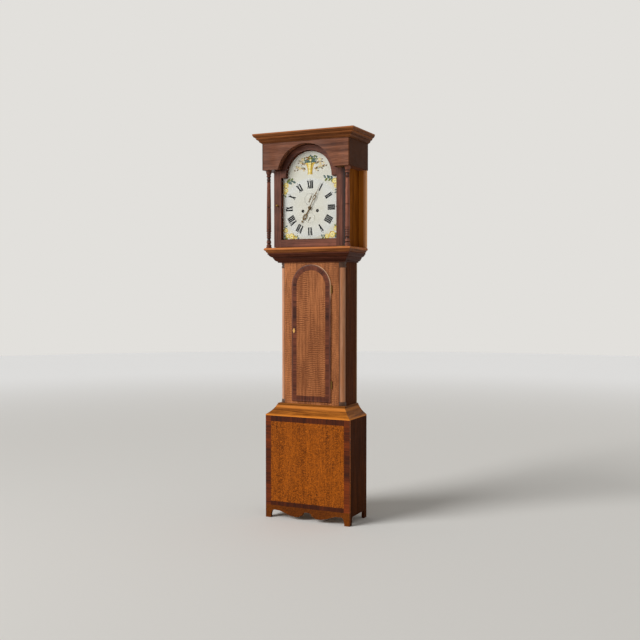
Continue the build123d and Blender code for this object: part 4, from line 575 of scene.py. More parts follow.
def smoothed(mesh):
    """Face a mesh outwards and shade it smooth."""
    bmesh.ops.recalc_face_normals(mesh, faces=mesh.faces)
    for face in mesh.faces:
        face.smooth = True


def circle_edges(made):
    """Edges of a circle that was just made."""
    return list(dict.fromkeys(edge for vert in made["verts"] for edge in vert.link_edges))


def last_edges(spun):
    """Edges where a spin ended."""
    return [part for part in spun["geom_last"] if isinstance(part, bmesh.types.BMEdge)]


class ClockStep:
    """What the clock's operators share."""

    bl_options = {"REGISTER", "UNDO"}

    def execute(self, context):
        self.make(context.scene.clock_sizes, context.scene.clock_colours)
        return {"FINISHED"}


class CLOCK_OT_cabinet(ClockStep, bpy.types.Operator):
    """Give the case, hood and doors their woods"""

    bl_idname = "clock.cabinet"
    bl_label = "Cabinet Woods"

    QUARTER_FOOT = 0.022
    QUARTER_CAP = 0.031
    QUIRK_SHADE = 0.012
    DOOR_BAND = 0.022
    BASE_BAND = 0.033
    GLASS_LAP = 0.0047
    FRIEZE_FLANK_SHADE = 0.0047

    def make(self, sizes, colours):
        self.base(colours)
        self.trunk(colours)
        self.trunk_door(colours)
        self.hood(colours)
        self.mouldings(colours)
        for run, *boards in (("z", "backboard"), ("x", "base_floor", "seatboard", "hood_top_board")):
            put_on(wood("deal " + run, colours.deal, shade(colours.deal, 0.6), run, gloss=0.62, polish=0.0,
                        pores=0.5), *boards)

    def base(self, colours):
        """The base: sides darkened by painted shade, a flecked front in its band, and the apron."""
        # Painted shade: the base's sides are darker still, for the deeper shade low down.
        put_on(wood("base side oak in painted shade", shade(colours.shaded_side_oak, 0.7), shade(colours.shaded_side_dark, 0.7), flake=0.15,
                    gloss=0.5, polish=0.0, sheen=0.02), "base_sides")
        put_on(wood("base oak", colours.golden_oak, colours.golden_dark, figure=1.2, flake=0.74, sheen=0.06),
               "base_front_panel")
        put_on(wood("apron oak", shade(colours.golden_oak, 0.52), colours.golden_dark, run="x", flake=0.4,
                    sheen=0.06), "base_apron")
        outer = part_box("base_crossbanding")[1]
        put_on(banded("base band", colours.base_band, colours.base_band_dark, outer.x - self.BASE_BAND,
                      rails=0.6), "base_crossbanding")

    def trunk(self, colours):
        """The trunk: its front frame, sides darkened by painted shade, and corner columns with a painted
        highlight and painted shade.
        """
        put_on(wood("trunk oak", colours.trunk_oak, shade(colours.trunk_dark, 0.85), figure=1.45, flake=0.24,
                    ripple=0.5), "trunk_front_frame")
        put_on(wood("trunk side oak in painted shade", colours.shaded_side_oak, colours.shaded_side_dark, flake=0.15, gloss=0.5, polish=0.0,
                    sheen=0.02), "trunk_sides")
        low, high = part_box("quarter_columns")
        put_on(turned_caps("quarter column", colours.quarter, colours.trunk_oak, low.z + self.QUARTER_FOOT,
                           high.z - self.QUARTER_CAP, (high.x + low.y - high.y, high.y, self.QUIRK_SHADE)),
               "quarter_columns")

    def trunk_door(self, colours):
        """The trunk's door: rippled oak in a round-headed band and lip."""
        put_on(wood("door oak", colours.trunk_oak, colours.trunk_dark, figure=1.05, flake=0.12, ripple=1.0),
               "trunk_door_panel")
        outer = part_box("trunk_door_lip")[1]
        # The lip's pale edge is patchy rubbed wear and, at the upper right, a painted highlight.
        put_on(lip_with_painted_highlight("lip mahogany", colours.band, colours.band_dark, colours.lip_wear_and_highlight, outer.x,
                        outer.z - outer.x), "trunk_door_lip")
        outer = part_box("trunk_door_crossbanding")[1]
        put_on(banded("door band", colours.band, colours.band_dark, outer.x - self.DOOR_BAND,
                      outer.z - outer.x, rails=0.2), "trunk_door_crossbanding")

    def hood(self, colours):
        """The hood: its sides, frieze, columns, door and mask."""
        put_on(cheeks("cheek oak", colours.cheek_oak, colours.cheek_dark,
                      (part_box("hood_mask")[1].x, colours.ear_oak),
                      (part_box("hood_sides")[1].x, colours.ear_rim_highlight)), "hood_sides")
        # The frieze's side faces are darkened as painted shade.
        shaded_flanks = (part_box("hood_frieze")[1].x - self.FRIEZE_FLANK_SHADE, shade(colours.cheek_dark, 0.36))
        put_on(wood("frieze mahogany", colours.frieze, colours.frieze_dark, run="x", figure=1.1, ripple=0.25,
                    gloss=0.34, polish=0.3, sheen=0.02, shaded_flanks=shaded_flanks), "hood_frieze")
        # The columns' mahogany is lightened by half as a painted sheen.
        put_on(turned("column mahogany", shade(colours.mahogany, 1.5), colours.mahogany_dark,
                      *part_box("hood_columns")), "hood_columns")
        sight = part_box("hood_door_glass")[1].x - self.GLASS_LAP
        put_on(joined_frame("hood door mahogany", colours.mahogany, colours.mahogany_dark, sight,
                            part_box("hood_door_frame")[1].x), "hood_door_frame")
        put_on(wood("mask", colours.band, colours.band_dark), "hood_mask")

    def mouldings(self, colours):
        """Mouldings; each edge is a share of the height, how far it spreads and how pale it is painted: above
        1 a highlight with rubbed wear, below 1 painted shade.
        """
        for node, light, dark, edges in (
                # The shoulder's top edge is darkened as painted shade where it meets the trunk; its paler
                # edges are painted highlights.
                ("shoulder_moulding", colours.shoulder_oak, colours.golden_dark,
                 ((0.006, 0.014, 1.6), (0.72, 0.014, 1.1), (0.95, 0.016, 0.3))),
                ("throat_moulding", colours.throat, colours.band_dark, ((1.0, 0.006, 1.6),)),
                ("hood_base_moulding", shade(colours.cornice_oak, 1.5), colours.cornice_dark,
                 ((0.85, 0.012, 1.6),)),
                ("hood_cornice", colours.cornice_oak, colours.cornice_dark,
                 ((0.95, 0.008, 1.6), (0.55, 0.004, 1.6)))):
            low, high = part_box(node)
            levels = [(low.z + share * (high.z - low.z), *rest) for share, *rest in edges]
            put_on(run_round(node.replace("_", " "), light, dark, levels), node)


class CLOCK_OT_metalwork(ClockStep, bpy.types.Operator):
    """Give the movement, hinges, hands, weights and pendulum their metals"""

    bl_idname = "clock.metalwork"
    bl_label = "Metalwork"

    BRASS = ("movement_front_plate", "movement_back_plate", "movement_pillars", "back_cock",
             "going_great_wheel", "strike_great_wheel", "minute_wheel", "hour_wheel", "third_wheel",
             "escape_wheel", "pin_wheel", "going_pulley", "strike_pulley", "pendulum_bob", "bell")
    ARBORED = ("going_barrel", "strike_barrel", "centre_wheel")
    AGED = ("hood_door_knob", "hood_door_pivots", "trunk_hinge_leaves", "trunk_door_hinges")
    HANDS = ("hour_hand", "minute_hand", "seconds_hand", "calendar_hand")
    STEEL = ("anchor", "hammer", "pendulum_rod")
    IRON = ("trunk_door_lock", "going_weight", "strike_weight")
    COLLET_SIDES = 14
    COLLET_STEPS = 48

    def make(self, sizes, colours):
        put_on(metal("movement brass", colours.brass, dull=0.3, tarnish=0.35), *self.BRASS)
        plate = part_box("movement_front_plate")[0].y
        # The arbor ends seen through the winding holes are steel, painted darker as shade.
        put_on(metal("arbor brass", colours.brass, dull=0.32, tarnish=0.4, front=(plate, colours.iron)),
               *self.ARBORED)
        put_on(metal("escutcheon brass", shade(colours.brass, 1.35), dull=0.45, tarnish=0.3, shine=0.6),
               "trunk_door_escutcheon")
        put_on(metal("aged brass", shade(colours.brass, 0.42), dull=0.4, tarnish=0.6), *self.AGED)
        dark = metal("hand brass", shade(colours.brass, 0.2), dull=0.42, tarnish=0.5)
        put_on(dark, *self.HANDS)
        self.collet(sizes, dark)
        put_on(metal("steel", colours.steel, dull=0.3, tarnish=0.3), *self.STEEL)
        put_on(metal("iron", colours.iron, dull=0.55, tarnish=0.4, shine=0.7), *self.IRON)

    def collet(self, sizes, finish):
        """The dished boss that holds the minute hand on its arbor."""
        centre = pivot("minute_turn")
        centre.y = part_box("minute_hand")[0].y - sizes.collet_rise / 2
        wall = sizes.collet - sizes.collet_bore
        section = (Matrix.Translation(centre + Vector((sizes.collet_bore + wall / 2, 0, 0)))
                   @ Matrix.Diagonal((wall / 2, sizes.collet_rise / 2, 1, 1)))
        mesh = bmesh.new()
        made = bmesh.ops.create_circle(mesh, cap_ends=False, radius=1, segments=self.COLLET_SIDES,
                                       matrix=section)
        bmesh.ops.spin(mesh, geom=circle_edges(made), cent=centre, axis=(0, 1, 0), dvec=(0, 0, 0),
                       angle=2 * math.pi, steps=self.COLLET_STEPS, use_merge=True)
        smoothed(mesh)
        new_piece("minute_hand_collet", "centre_arbor", mesh, finish)


class CLOCK_OT_glass(ClockStep, bpy.types.Operator):
    """Glaze the hood door"""

    bl_idname = "clock.glass"
    bl_label = "Glass"

    TINT = (0.02, 0.03, 0.025, 1.0)

    def make(self, sizes, colours):
        glass = Finish("hood glass", Base_Color=self.TINT)
        ripple = glass.noise(glass.place, 9.0, detail=2)
        glass.link("Alpha", 0.02 + ripple * 0.03)
        glass.link("Roughness", 0.02 + ripple * 0.02)
        glass.bump(ripple, depth=0.0006, strength=0.3)
        put_on(glass, "hood_door_glass")


# A letter's advance, then its strokes by top, foot and width, as shares of the numeral's height.
STROKES = {
    "I": (0.24, ((0.0, 0.0, 0.2),)),
    "V": (0.42, ((-0.13, 0.0, 0.2), (0.13, 0.0, 0.075))),
    "X": (0.43, ((-0.13, 0.13, 0.2), (0.13, -0.13, 0.075))),
}
HOURS = ("XII", "I", "II", "III", "IIII", "V", "VI", "VII", "VIII", "IX", "X", "XI")


class Painter:
    """Brushes flat figures on the dial, each colour as one thin piece, its strokes lapped."""

    LAPS = 47
    LAPS_TO_COAT = 120
    RING_SIDES = 72
    DAB_SIDES = 10

    # Shares of a numeral's height: how tall a serif is and how much wider than its stroke.
    SERIF_TALL = 0.05
    SERIF_LAP = 0.04

    # Petals from the outside in: their count, reach and half width; sizes are shares of the flower's.
    PETALS = ((7, 0.62, 0.4), (6, 0.4, 0.3), (4, 0.18, 0.2))
    PETAL_TALL = 0.42
    HEART = 0.13
    STRAY_PETALS = 0.2

    # Leaves of a sprig as shares of the leaf's size, and how they splay, in degrees.
    STEM = 0.0007
    LEAF_SIDES = 8
    LEAF_GAP = 0.62
    LEAF_OUT = 0.5
    LEAF_WIDE = 0.4
    LEAF_TALL = (0.6, 0.85)
    LEAF_SPLAY = (35, 65)
    FEWEST_LEAVES = 3
    FIRST_LEAF = 0.6

    def __init__(self, front, paint):
        self.front = front
        self.lap = paint / self.LAPS_TO_COAT
        self.strokes = Counter()
        self.meshes = {}

    def mesh(self, layer):
        """The open mesh of a colour layer."""
        if layer not in self.meshes:
            self.meshes[layer] = bmesh.new()
        return self.meshes[layer]

    def on_dial(self, x, z, turn=0.0, out=0.0):
        """Placement at a point of the dial, turned clockwise in degrees, then moved out that way."""
        return (Matrix.Translation((x, self.front, z)) @ Matrix.Rotation(math.radians(90), 4, "X")
                @ Matrix.Rotation(math.radians(-turn), 4, "Z") @ Matrix.Translation((0, out, 0)))

    def lapped(self, layer):
        """A hair's lift that keeps a stroke off the ones it crosses in its layer."""
        self.strokes[layer] += 1
        return Matrix.Translation((0, 0, self.lap * (self.strokes[layer] % self.LAPS)))

    def dab(self, layer, place, wide, tall, sides=DAB_SIDES):
        """An oval dab of paint."""
        bmesh.ops.create_circle(self.mesh(layer), cap_ends=True, radius=1, segments=sides,
                                matrix=place @ self.lapped(layer) @ Matrix.Diagonal((wide, tall, 1, 1)))

    def vase(self, layer, place, outline, share=1.0, spread=0.0):
        """A vase drawn by its outline of levels and half widths."""
        rows = len(outline) - 1
        made = bmesh.ops.create_grid(self.mesh(layer), x_segments=1, y_segments=rows, size=1,
                                     matrix=Matrix.Identity(4))
        for vert in made["verts"]:
            level, half = outline[round((vert.co.y + 1) / 2 * rows)]
            vert.co = Vector((math.copysign(share * half + spread, vert.co.x), level, 0))
        bmesh.ops.transform(self.mesh(layer), matrix=place @ self.lapped(layer), verts=made["verts"])

    def bar(self, layer, place, wide, tall, lean=0.0):
        """A straight stroke, sheared by lean across its height."""
        shear = Matrix(((wide, lean, 0, 0), (0, tall, 0, 0), (0, 0, 1, 0), (0, 0, 0, 1)))
        bmesh.ops.create_grid(self.mesh(layer), x_segments=1, y_segments=1, size=0.5,
                              matrix=place @ self.lapped(layer) @ shear)

    def ring(self, layer, place, radius, wide):
        """A thin painted circle."""
        mesh = self.mesh(layer)
        edges = []
        for reach in (radius - wide / 2, radius + wide / 2):
            made = bmesh.ops.create_circle(mesh, cap_ends=False, radius=reach, segments=self.RING_SIDES,
                                           matrix=place)
            edges += circle_edges(made)
        bmesh.ops.bridge_loops(mesh, edges=edges)

    def numeral(self, layer, place, word, tall):
        """An hour numeral standing on the placed point."""
        start = -sum(STROKES[letter][0] for letter in word) / 2
        for letter in word:
            advance, strokes = STROKES[letter]
            middle = start + advance / 2
            for top, foot, wide in strokes:
                shift = Matrix.Translation(((middle + (top + foot) / 2) * tall, tall / 2, 0))
                self.bar(layer, place @ shift, wide * tall, tall, (top - foot) * tall)
                for level, at in ((1.0, top), (0.0, foot)):
                    serif = Matrix.Translation(((middle + at) * tall, level * tall, 0))
                    self.bar(layer, place @ serif, (wide + self.SERIF_LAP) * tall, self.SERIF_TALL * tall)
            start += advance

    def blossom(self, place, size, draw, petals=("gold", "pale", "gold")):
        """A round flower: three rounds of petals, a few of them shaded, and a dark heart."""
        for layer, (count, reach, wide) in zip(petals, self.PETALS):
            offset = draw.uniform(0, 360)
            for petal in range(count):
                spot = place @ Matrix.Rotation(math.radians(offset + 360 * petal / count), 4, "Z")
                spot = spot @ Matrix.Translation((0, reach * size, 0))
                tint = layer if draw.random() > self.STRAY_PETALS else "ochre"
                self.dab(tint, spot, wide * size, self.PETAL_TALL * size)
        self.dab("umber", place, self.HEART * size, self.HEART * size)

    def sprig(self, place, reach, size, draw, layers=("leaf", "slate")):
        """A stem in the first of its layers, with leaves of them all on both sides."""
        self.bar(layers[0], place @ Matrix.Translation((0, reach / 2, 0)), self.STEM, reach)
        count = max(self.FEWEST_LEAVES, int(reach / (self.LEAF_GAP * size)))
        for leaf in range(count):
            side = 1 if leaf % 2 else -1
            rise = reach * (leaf + self.FIRST_LEAF) / count
            spot = place @ Matrix.Translation((side * self.LEAF_OUT * size, rise, 0))
            spot = spot @ Matrix.Rotation(math.radians(-side * draw.uniform(*self.LEAF_SPLAY)), 4, "Z")
            tall = draw.uniform(*self.LEAF_TALL) * size
            self.dab(layers[leaf % len(layers)], spot, self.LEAF_WIDE * size, tall, self.LEAF_SIDES)


class CLOCK_OT_dial(ClockStep, bpy.types.Operator):
    """Paint the dial: ground, numerals, rings, corner flowers and an urn in the arch"""

    bl_idname = "clock.dial"
    bl_label = "Painted Dial"

    # Each colour and how far it stands off the dial, in coats of paint.
    LAYERS = (("leaf", 0.5), ("slate", 0.9), ("ochre", 1.3), ("blush", 1.7), ("gold", 2.1), ("pale", 2.5),
              ("umber", 2.9), ("ink", 1.0), ("faint", 0.6))

    # The whiter ring from inside the numerals' feet to past the minute dots, then the dots and marks.
    CHAPTER_IN = 0.05
    CHAPTER_OUT = 0.004
    HOUR_DOT = 0.0021
    MINUTE_DOT = 0.0008
    RING_LINE = 0.0003
    RING_BAND = 0.0032
    STRONG_MARK = 0.0009
    FINE_MARK = 0.0004
    STRONG_EVERY = 5

    # Corner flowers: x, height over the dial's centre and size; leaves have a turn and a reach before it.
    CORNER_BLOSSOMS = ((-0.149, 0.129, 0.0165), (-0.150, 0.103, 0.0140), (-0.157, 0.085, 0.0085),
                       (0.149, 0.141, 0.0165), (0.155, 0.114, 0.0115), (-0.113, -0.153, 0.0175),
                       (-0.140, -0.148, 0.0125), (-0.089, -0.162, 0.0090), (-0.151, -0.120, 0.0135),
                       (0.133, -0.147, 0.0185), (0.103, -0.157, 0.0140), (0.153, -0.115, 0.0125))
    CORNER_LEAVES = ((-0.140, 0.146, 80, 0.046, 0.0150), (-0.142, 0.140, 58, 0.036, 0.0130),
                     (-0.156, 0.092, 182, 0.026, 0.0110), (0.145, 0.153, -84, 0.062, 0.0150),
                     (0.140, 0.146, -66, 0.034, 0.0130), (0.160, 0.104, 182, 0.028, 0.0100),
                     (-0.112, -0.160, 88, 0.042, 0.0110), (-0.153, -0.122, 4, 0.030, 0.0110),
                     (-0.143, -0.156, 250, 0.016, 0.0150), (0.112, -0.161, -86, 0.044, 0.0110),
                     (0.157, -0.118, -3, 0.030, 0.0110), (0.150, -0.148, 120, 0.014, 0.0140))

    # The urn's foot below the top of the dial, its outline by level and half width, and its bands.
    URN_DROP = 0.133
    URN = ((0.000, 0.0140), (0.003, 0.0152), (0.006, 0.0138), (0.010, 0.0118), (0.016, 0.0126),
           (0.026, 0.0138), (0.036, 0.0156), (0.044, 0.0180), (0.050, 0.0205), (0.055, 0.0232),
           (0.058, 0.0265), (0.061, 0.0285), (0.064, 0.0280))
    URN_RIM = URN[-1][0]
    URN_EDGE = 0.0012
    GLINT_X = -0.004
    GLINT_SHARE = 0.36
    SHADOW_X = 0.0105
    SHADOW_SHARE = 0.1
    BANDS = ((0.008, 0.0112), (0.030, 0.0132), (0.056, 0.0225))
    BAND_X = 0.002
    BAND_TALL = 0.0012

    # What grows from the urn: foliage by its angles, then tufts, sprays, blossoms and buds over its foot.
    FOLIAGE = (-78, -50, -26, -14, -4, 6, 16, 40, 66, 80)
    FOLIAGE_SPREAD = 0.0003
    FOLIAGE_LEAN = 0.42
    FOLIAGE_REACH = (0.018, 0.040)
    FOLIAGE_LEAF = 0.0100
    TUFTS = ((-0.010, 0.064, -58, 0.018, 0.0135, "slate"), (0.014, 0.066, 56, 0.020, 0.0140, "slate"),
             (0.000, 0.066, 4, 0.022, 0.0120, "leaf"), (0.016, 0.080, 44, 0.030, 0.0110, "leaf"),
             (-0.010, 0.082, -30, 0.018, 0.0090, "ochre"), (0.006, 0.090, 10, 0.014, 0.0080, "slate"))
    SPRAYS = ((-0.028, 0.032, -78, 0.062), (-0.030, 0.056, -60, 0.040), (0.028, 0.030, 76, 0.064),
              (0.030, 0.056, 62, 0.044))
    SPRAY_LEAF = 0.0060
    RIM_BLOSSOMS = ((0.002, 0.078, 0.0085), (0.001, 0.092, 0.0055))
    ARCH_BLOSSOMS = ((-0.046, 0.083, 0.0105), (-0.057, 0.066, 0.0075), (-0.063, 0.037, 0.0095),
                     (-0.038, 0.023, 0.0060), (-0.080, 0.045, 0.0055), (0.058, 0.079, 0.0105),
                     (0.061, 0.058, 0.0085), (0.053, 0.042, 0.0065), (0.068, 0.044, 0.0070),
                     (0.040, 0.023, 0.0060), (0.082, 0.060, 0.0055))
    ARCH_BUDS = ((-0.071, 0.065, 0.0034), (-0.068, 0.077, 0.0028), (-0.046, 0.058, 0.0034),
                 (-0.094, 0.025, 0.0038), (-0.076, 0.028, 0.0040), (-0.036, 0.033, 0.0038),
                 (-0.052, 0.050, 0.0024), (0.047, 0.064, 0.0036), (0.073, 0.066, 0.0036),
                 (0.073, 0.080, 0.0034), (0.040, 0.035, 0.0042), (0.072, 0.031, 0.0038),
                 (0.079, 0.041, 0.0034), (0.098, 0.044, 0.0038), (0.049, 0.018, 0.0032))
    BUD_WIDE = 1.6
    BUD_TALL = 0.8
    BUD_TURN = 60

    def make(self, sizes, colours):
        low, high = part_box("dial_plate")
        centre = pivot("minute_turn")
        holes = [pivot(joint) for joint in ("going_winding", "strike_winding")]
        put_on(dial_ground(colours.cream, colours.chapter, colours.iron, centre,
                           sizes.numeral_foot - self.CHAPTER_IN, sizes.minute_ring + self.CHAPTER_OUT, holes,
                           low.y), "dial_plate")
        painter = Painter(low.y, sizes.paint)
        self.hours(painter, sizes, centre)
        self.small_rings(painter, sizes)
        draw = random.Random(sizes.seed)
        self.corners(painter, centre, draw)
        self.arch(painter, high.z - self.URN_DROP, draw)
        tints = {"ink": colours.ink, "gold": colours.gold, "pale": colours.pale, "ochre": colours.ochre,
                 "leaf": colours.leaf, "slate": colours.slate, "blush": colours.blush,
                 "faint": shade(colours.ink, 6), "umber": shade(colours.ochre, 0.35)}
        for layer, coats in self.LAYERS:
            self.lay(painter, layer, coats * sizes.paint, paint("dial " + layer, tints[layer]))

    def lay(self, painter, layer, depth, finish):
        """Raise a layer off the dial by its coats of paint."""
        mesh = painter.mesh(layer)
        bmesh.ops.recalc_face_normals(mesh, faces=mesh.faces)
        for face in mesh.faces:
            if face.normal.y > 0:
                face.normal_flip()
        bmesh.ops.translate(mesh, verts=mesh.verts, vec=(0, -depth, 0))
        piece = new_piece("dial_" + layer, "case", mesh, finish)
        coat = piece.modifiers.new("coat", "SOLIDIFY")
        coat.thickness = depth
        coat.offset = -1

    def hours(self, painter, sizes, centre):
        """Hour numerals and minute dots."""
        for hour, word in enumerate(HOURS):
            spot = painter.on_dial(centre.x, centre.z, 30 * hour, sizes.numeral_foot)
            painter.numeral("ink", spot, word, sizes.numeral_height)
        for minute in range(60):
            spot = painter.on_dial(centre.x, centre.z, 6 * minute, sizes.minute_ring)
            size = self.HOUR_DOT if minute % 5 == 0 else self.MINUTE_DOT
            painter.dab("ink", spot, size, size)

    def small_rings(self, painter, sizes):
        """Seconds ring above the centre and date ring below it."""
        for joint, radius, count in (("seconds_turn", sizes.seconds_ring, 60),
                                     ("calendar_turn", sizes.date_ring, 31)):
            spot = pivot(joint)
            for reach in (radius, radius - self.RING_BAND):
                painter.ring("faint", painter.on_dial(spot.x, spot.z), reach, self.RING_LINE)
            for mark in range(count):
                at = painter.on_dial(spot.x, spot.z, 360 * mark / count, radius - self.RING_BAND / 2)
                wide = self.FINE_MARK if mark % self.STRONG_EVERY else self.STRONG_MARK
                painter.bar("faint", at, wide, self.RING_BAND)

    def corners(self, painter, centre, draw):
        """Blossoms and leaves in the four corners."""
        for x, z, turn, reach, size in self.CORNER_LEAVES:
            painter.sprig(painter.on_dial(x, centre.z + z, turn), reach, size, draw)
        for x, z, size in self.CORNER_BLOSSOMS:
            painter.blossom(painter.on_dial(x, centre.z + z), size, draw)

    def arch(self, painter, foot, draw):
        """An urn of flowers with sprays on each side."""
        for turn in self.FOLIAGE:
            place = painter.on_dial(self.FOLIAGE_SPREAD * turn, foot + self.URN_RIM, self.FOLIAGE_LEAN * turn)
            reach = draw.uniform(*self.FOLIAGE_REACH)
            painter.sprig(place, reach, self.FOLIAGE_LEAF, draw, ("leaf", "slate", "leaf"))
        for x, z, turn, reach, size, layer in self.TUFTS:
            painter.sprig(painter.on_dial(x, foot + z, turn), reach, size, draw, (layer,))
        for x, z, turn, reach in self.SPRAYS:
            painter.sprig(painter.on_dial(x, foot + z, turn), reach, self.SPRAY_LEAF, draw, ("ochre", "leaf"))
        for x, z, size in self.RIM_BLOSSOMS:
            painter.blossom(painter.on_dial(x, foot + z), size, draw, ("leaf", "pale", "gold"))
        for x, z, size in self.ARCH_BLOSSOMS:
            painter.blossom(painter.on_dial(x, foot + z), size, draw, ("blush", "blush", "pale"))
        for x, z, size in self.ARCH_BUDS:
            place = painter.on_dial(x, foot + z, draw.uniform(-self.BUD_TURN, self.BUD_TURN))
            painter.dab("umber", place, self.BUD_WIDE * size, self.BUD_TALL * size)
        painter.vase("ochre", painter.on_dial(0, foot), self.URN, spread=self.URN_EDGE)
        painter.vase("gold", painter.on_dial(0, foot), self.URN)
        painter.vase("pale", painter.on_dial(self.GLINT_X, foot), self.URN, self.GLINT_SHARE)
        painter.vase("umber", painter.on_dial(self.SHADOW_X, foot), self.URN, self.SHADOW_SHARE)
        for level, half in self.BANDS:
            painter.bar("umber", painter.on_dial(self.BAND_X, foot + level), 2 * half, self.BAND_TALL)


class CLOCK_OT_lines(ClockStep, bpy.types.Operator):
    """Wind the gut lines on their barrels and string them round the pulleys to their knots"""

    bl_idname = "clock.lines"
    bl_label = "Gut Lines"

    SIDES = 8
    STEPS = 14
    TURNS = 6
    TURN_STEPS = 24

    # From turn to turn and the knot's size, in radii of the gut.
    PITCH = 2.15
    KNOT = 4.4
    KNOT_SHAPE = (1, 0.8, 0.75, 1)

    # Heights of the knot and of the line's end over the seatboard, and of the full pull over the pulley.
    KNOT_RISE = 0.003
    END_RISE = 0.004
    PULL_RISE = 0.03

    def make(self, sizes, colours):
        gut = Finish("gut")
        turns = gut.node("ShaderNodeTexWave", {"bands_direction": "DIAGONAL"},
                         {"Vector": gut.place, "Scale": 260.0, "Distortion": 1.0})
        gut.link("Base Color", gut.mix(turns, colours.gut, shade(colours.gut, 0.5)))
        gut.link("Roughness", 0.4 + turns * 0.2)
        gut.bump(turns, depth=0.0002, strength=0.6)
        for side in ("going", "strike"):
            barrel = pivot(side + "_winding")
            pulley = pivot(side + "_sheave_turn")
            self.string(side, barrel, pulley, sizes.gut, gut)
            self.wind(side, barrel, pulley, sizes.gut, gut)

    def string(self, side, barrel, pulley, radius, finish):
        """One line: once round the barrel, down to the pulley, half round it and up to the seatboard."""
        node = side + "_line"
        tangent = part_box(node)[0].x + radius
        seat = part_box("seatboard")[1].z
        mesh = bmesh.new()
        start = (tangent, pulley.y - self.PITCH * radius, barrel.z)
        ring = self.lap(mesh, start, barrel.x, radius, 1, -1)
        ring = self.pull(mesh, ring, (pulley.z - barrel.z) / self.STEPS)
        spun = bmesh.ops.spin(mesh, geom=ring, cent=pulley, axis=(0, -1, 0), dvec=(0, 0, 0), angle=math.pi,
                              steps=self.STEPS, use_merge=False)
        ring = self.pull(mesh, last_edges(spun), (seat + self.END_RISE - pulley.z) / self.STEPS)
        bmesh.ops.holes_fill(mesh, edges=ring)
        knot = Matrix.Translation((2 * pulley.x - tangent, pulley.y, seat + self.KNOT_RISE))
        bmesh.ops.create_icosphere(mesh, subdivisions=2, radius=self.KNOT * radius,
                                   matrix=knot @ Matrix.Diagonal(self.KNOT_SHAPE))
        bmesh.ops.remove_doubles(mesh, verts=mesh.verts, dist=1e-6)
        smoothed(mesh)
        piece = new_piece(side + "_gut", None, mesh, finish)
        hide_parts(node)
        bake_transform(piece)

    def wind(self, side, barrel, pulley, radius, finish):
        """The turns of gut stored on the barrel, from the falling line's own turn to the front flange."""
        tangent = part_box(side + "_line")[0].x + radius
        mesh = bmesh.new()
        start = (tangent, pulley.y - 2 * self.PITCH * radius, barrel.z)
        bmesh.ops.holes_fill(mesh, edges=self.lap(mesh, start, barrel.x, radius, self.TURNS, 1))
        smoothed(mesh)
        new_piece(side + "_turns", side + "_drum", mesh, finish)

    def lap(self, mesh, start, axis_x, radius, turns, way):
        """Lap gut round a barrel from a start, forwards (way 1) or backwards (-1); gives the last ring."""
        made = bmesh.ops.create_circle(mesh, cap_ends=True, radius=radius, segments=self.SIDES,
                                       matrix=Matrix.Translation(start))
        spun = bmesh.ops.spin(mesh, geom=circle_edges(made), cent=(axis_x, start[1], start[2]),
                              axis=(0, way, 0), dvec=(0, -way * self.PITCH * radius / self.TURN_STEPS, 0),
                              angle=2 * math.pi * turns, steps=turns * self.TURN_STEPS, use_merge=False)
        return last_edges(spun)

    def pull(self, mesh, ring, rise):
        """Draw a ring of edges up or down in even steps."""
        for _ in range(self.STEPS):
            made = bmesh.ops.extrude_edge_only(mesh, edges=ring)
            verts = [part for part in made["geom"] if isinstance(part, bmesh.types.BMVert)]
            bmesh.ops.translate(mesh, verts=verts, vec=(0, 0, rise))
            kept = set(verts)
            ring = [edge for part in verts for edge in part.link_edges if kept.issuperset(edge.verts)]
            ring = list(dict.fromkeys(ring))
        return ring


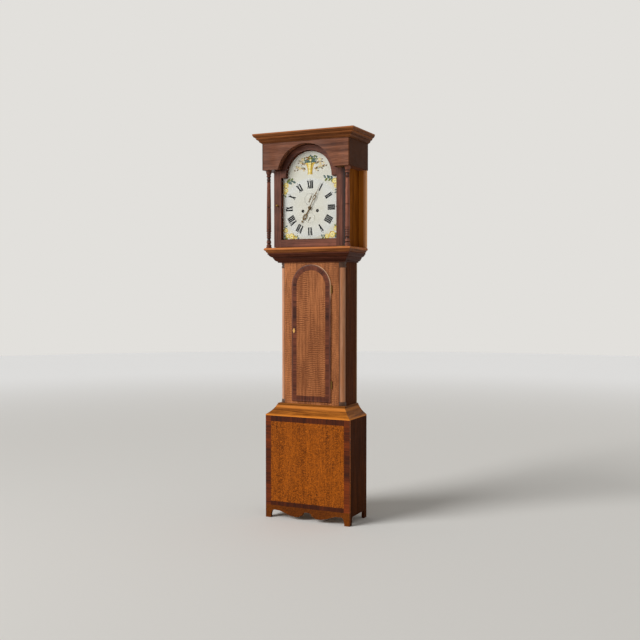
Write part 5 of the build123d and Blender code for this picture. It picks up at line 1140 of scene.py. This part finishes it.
class CLOCK_OT_stage(ClockStep, bpy.types.Operator):
    """Set the floor, the soft lights and the camera"""

    bl_idname = "clock.stage"
    bl_label = "Studio"

    SUN = (-0.50, -0.68, 0.54)
    SUN_POWER = 2.3
    SUN_SPREAD = math.radians(30)
    KEY = (-2.6, -3.6, 2.6)
    KEY_AIM = (0.0, 0.0, 1.05)
    KEY_SIZE = 2.4
    KEY_POWER = 34.0
    AMBIENT = 0.42
    CAMERA = (2.1529, -4.4339, 1.2613)
    TURN = (math.radians(90 - 1.80), 0.0, math.radians(25.49))
    LENS = 50.0
    FLOOR_RADIUS = 14
    FLOOR_SIDES = 64
    FADE_SQUARED = (4.0, 90.0)
    WHITE = (1.0, 1.0, 1.0)

    def make(self, sizes, colours):
        scene = bpy.context.scene
        scene.view_settings.view_transform = "Standard"
        self.floor(colours.floor)
        self.sky(scene, colours.floor)
        sun = bpy.data.lights.new("window", "SUN")
        sun.energy = self.SUN_POWER
        sun.angle = self.SUN_SPREAD
        self.put(scene, sun, self.facing(-Vector(self.SUN)))
        key = bpy.data.lights.new("key", "AREA")
        key.shape = "DISK"
        key.size = self.KEY_SIZE
        key.energy = self.KEY_POWER
        self.put(scene, key, self.facing(Vector(self.KEY_AIM) - Vector(self.KEY)), self.KEY)
        lens = bpy.data.cameras.new("camera")
        lens.lens = self.LENS
        scene.camera = self.put(scene, lens, self.TURN, self.CAMERA)

    def facing(self, way):
        """The turn of a light that shines a given way."""
        return way.to_track_quat("-Z", "Y").to_euler()

    def put(self, scene, data, turn, place=(0, 0, 0)):
        """Put a light or a camera in the scene under its own name."""
        thing = bpy.data.objects.new(data.name, data)
        thing.location = place
        thing.rotation_euler = turn
        scene.collection.objects.link(thing)
        return thing

    def floor(self, tint):
        """A pale floor that fades into the backdrop."""
        ground = Finish("studio floor", Roughness=0.8, Specular_IOR_Level=0.1)
        grit = ground.noise(ground.place, 60.0)
        away = (ground.x * ground.x + ground.y * ground.y).above(*self.FADE_SQUARED)
        tone = ground.mix(grit * 0.12, tint, shade(tint, 0.86))
        ground.link("Base Color", ground.mix(away, tone, self.WHITE))
        mesh = bmesh.new()
        bmesh.ops.create_circle(mesh, cap_ends=True, radius=self.FLOOR_RADIUS, segments=self.FLOOR_SIDES)
        floor = in_scene("floor", mesh, ground)

    def sky(self, scene, tint):
        """Pale to the camera and in reflections, gentle as a light."""
        world = bpy.data.worlds.new("studio")
        scene.world = world
        world.use_nodes = True
        nodes = Nodes(world.node_tree)
        seen, *others = [nodes.node("ShaderNodeLightPath", {}, {}, ray)
                         for ray in ("Is Camera Ray", "Is Glossy Ray", "Is Transmission Ray")]
        for ray in others:
            seen = nodes.math("MAXIMUM", seen, ray)
        strength = seen * (1 - self.AMBIENT) + self.AMBIENT
        backdrop = nodes.tree.nodes["Background"]
        backdrop.inputs["Color"].default_value = (*tint, 1)
        nodes.tree.links.new(strength.socket, backdrop.inputs["Strength"])


STEPS = (CLOCK_OT_cabinet, CLOCK_OT_metalwork, CLOCK_OT_glass, CLOCK_OT_dial, CLOCK_OT_lines, CLOCK_OT_stage)


class CLOCK_PT_panel(bpy.types.Panel):
    """The clock's steps in order"""

    bl_idname = "CLOCK_PT_panel"
    bl_label = "Longcase Clock"
    bl_space_type = "VIEW_3D"
    bl_region_type = "UI"
    bl_category = "Clock"

    def draw(self, context):
        for step in STEPS:
            self.layout.operator(step.bl_idname)


CLASSES = (ClockSizes, ClockColours, *STEPS, CLOCK_PT_panel)


def register():
    for item in CLASSES:
        bpy.utils.register_class(item)
    bpy.types.Scene.clock_sizes = PointerProperty(type=ClockSizes)
    bpy.types.Scene.clock_colours = PointerProperty(type=ClockColours)


def unregister():
    del bpy.types.Scene.clock_colours
    del bpy.types.Scene.clock_sizes
    for item in reversed(CLASSES):
        bpy.utils.unregister_class(item)


def main():
    register()
    for step in STEPS:
        group, name = step.bl_idname.split(".")
        getattr(getattr(bpy.ops, group), name)()


if __name__ == "__main__":
    main()
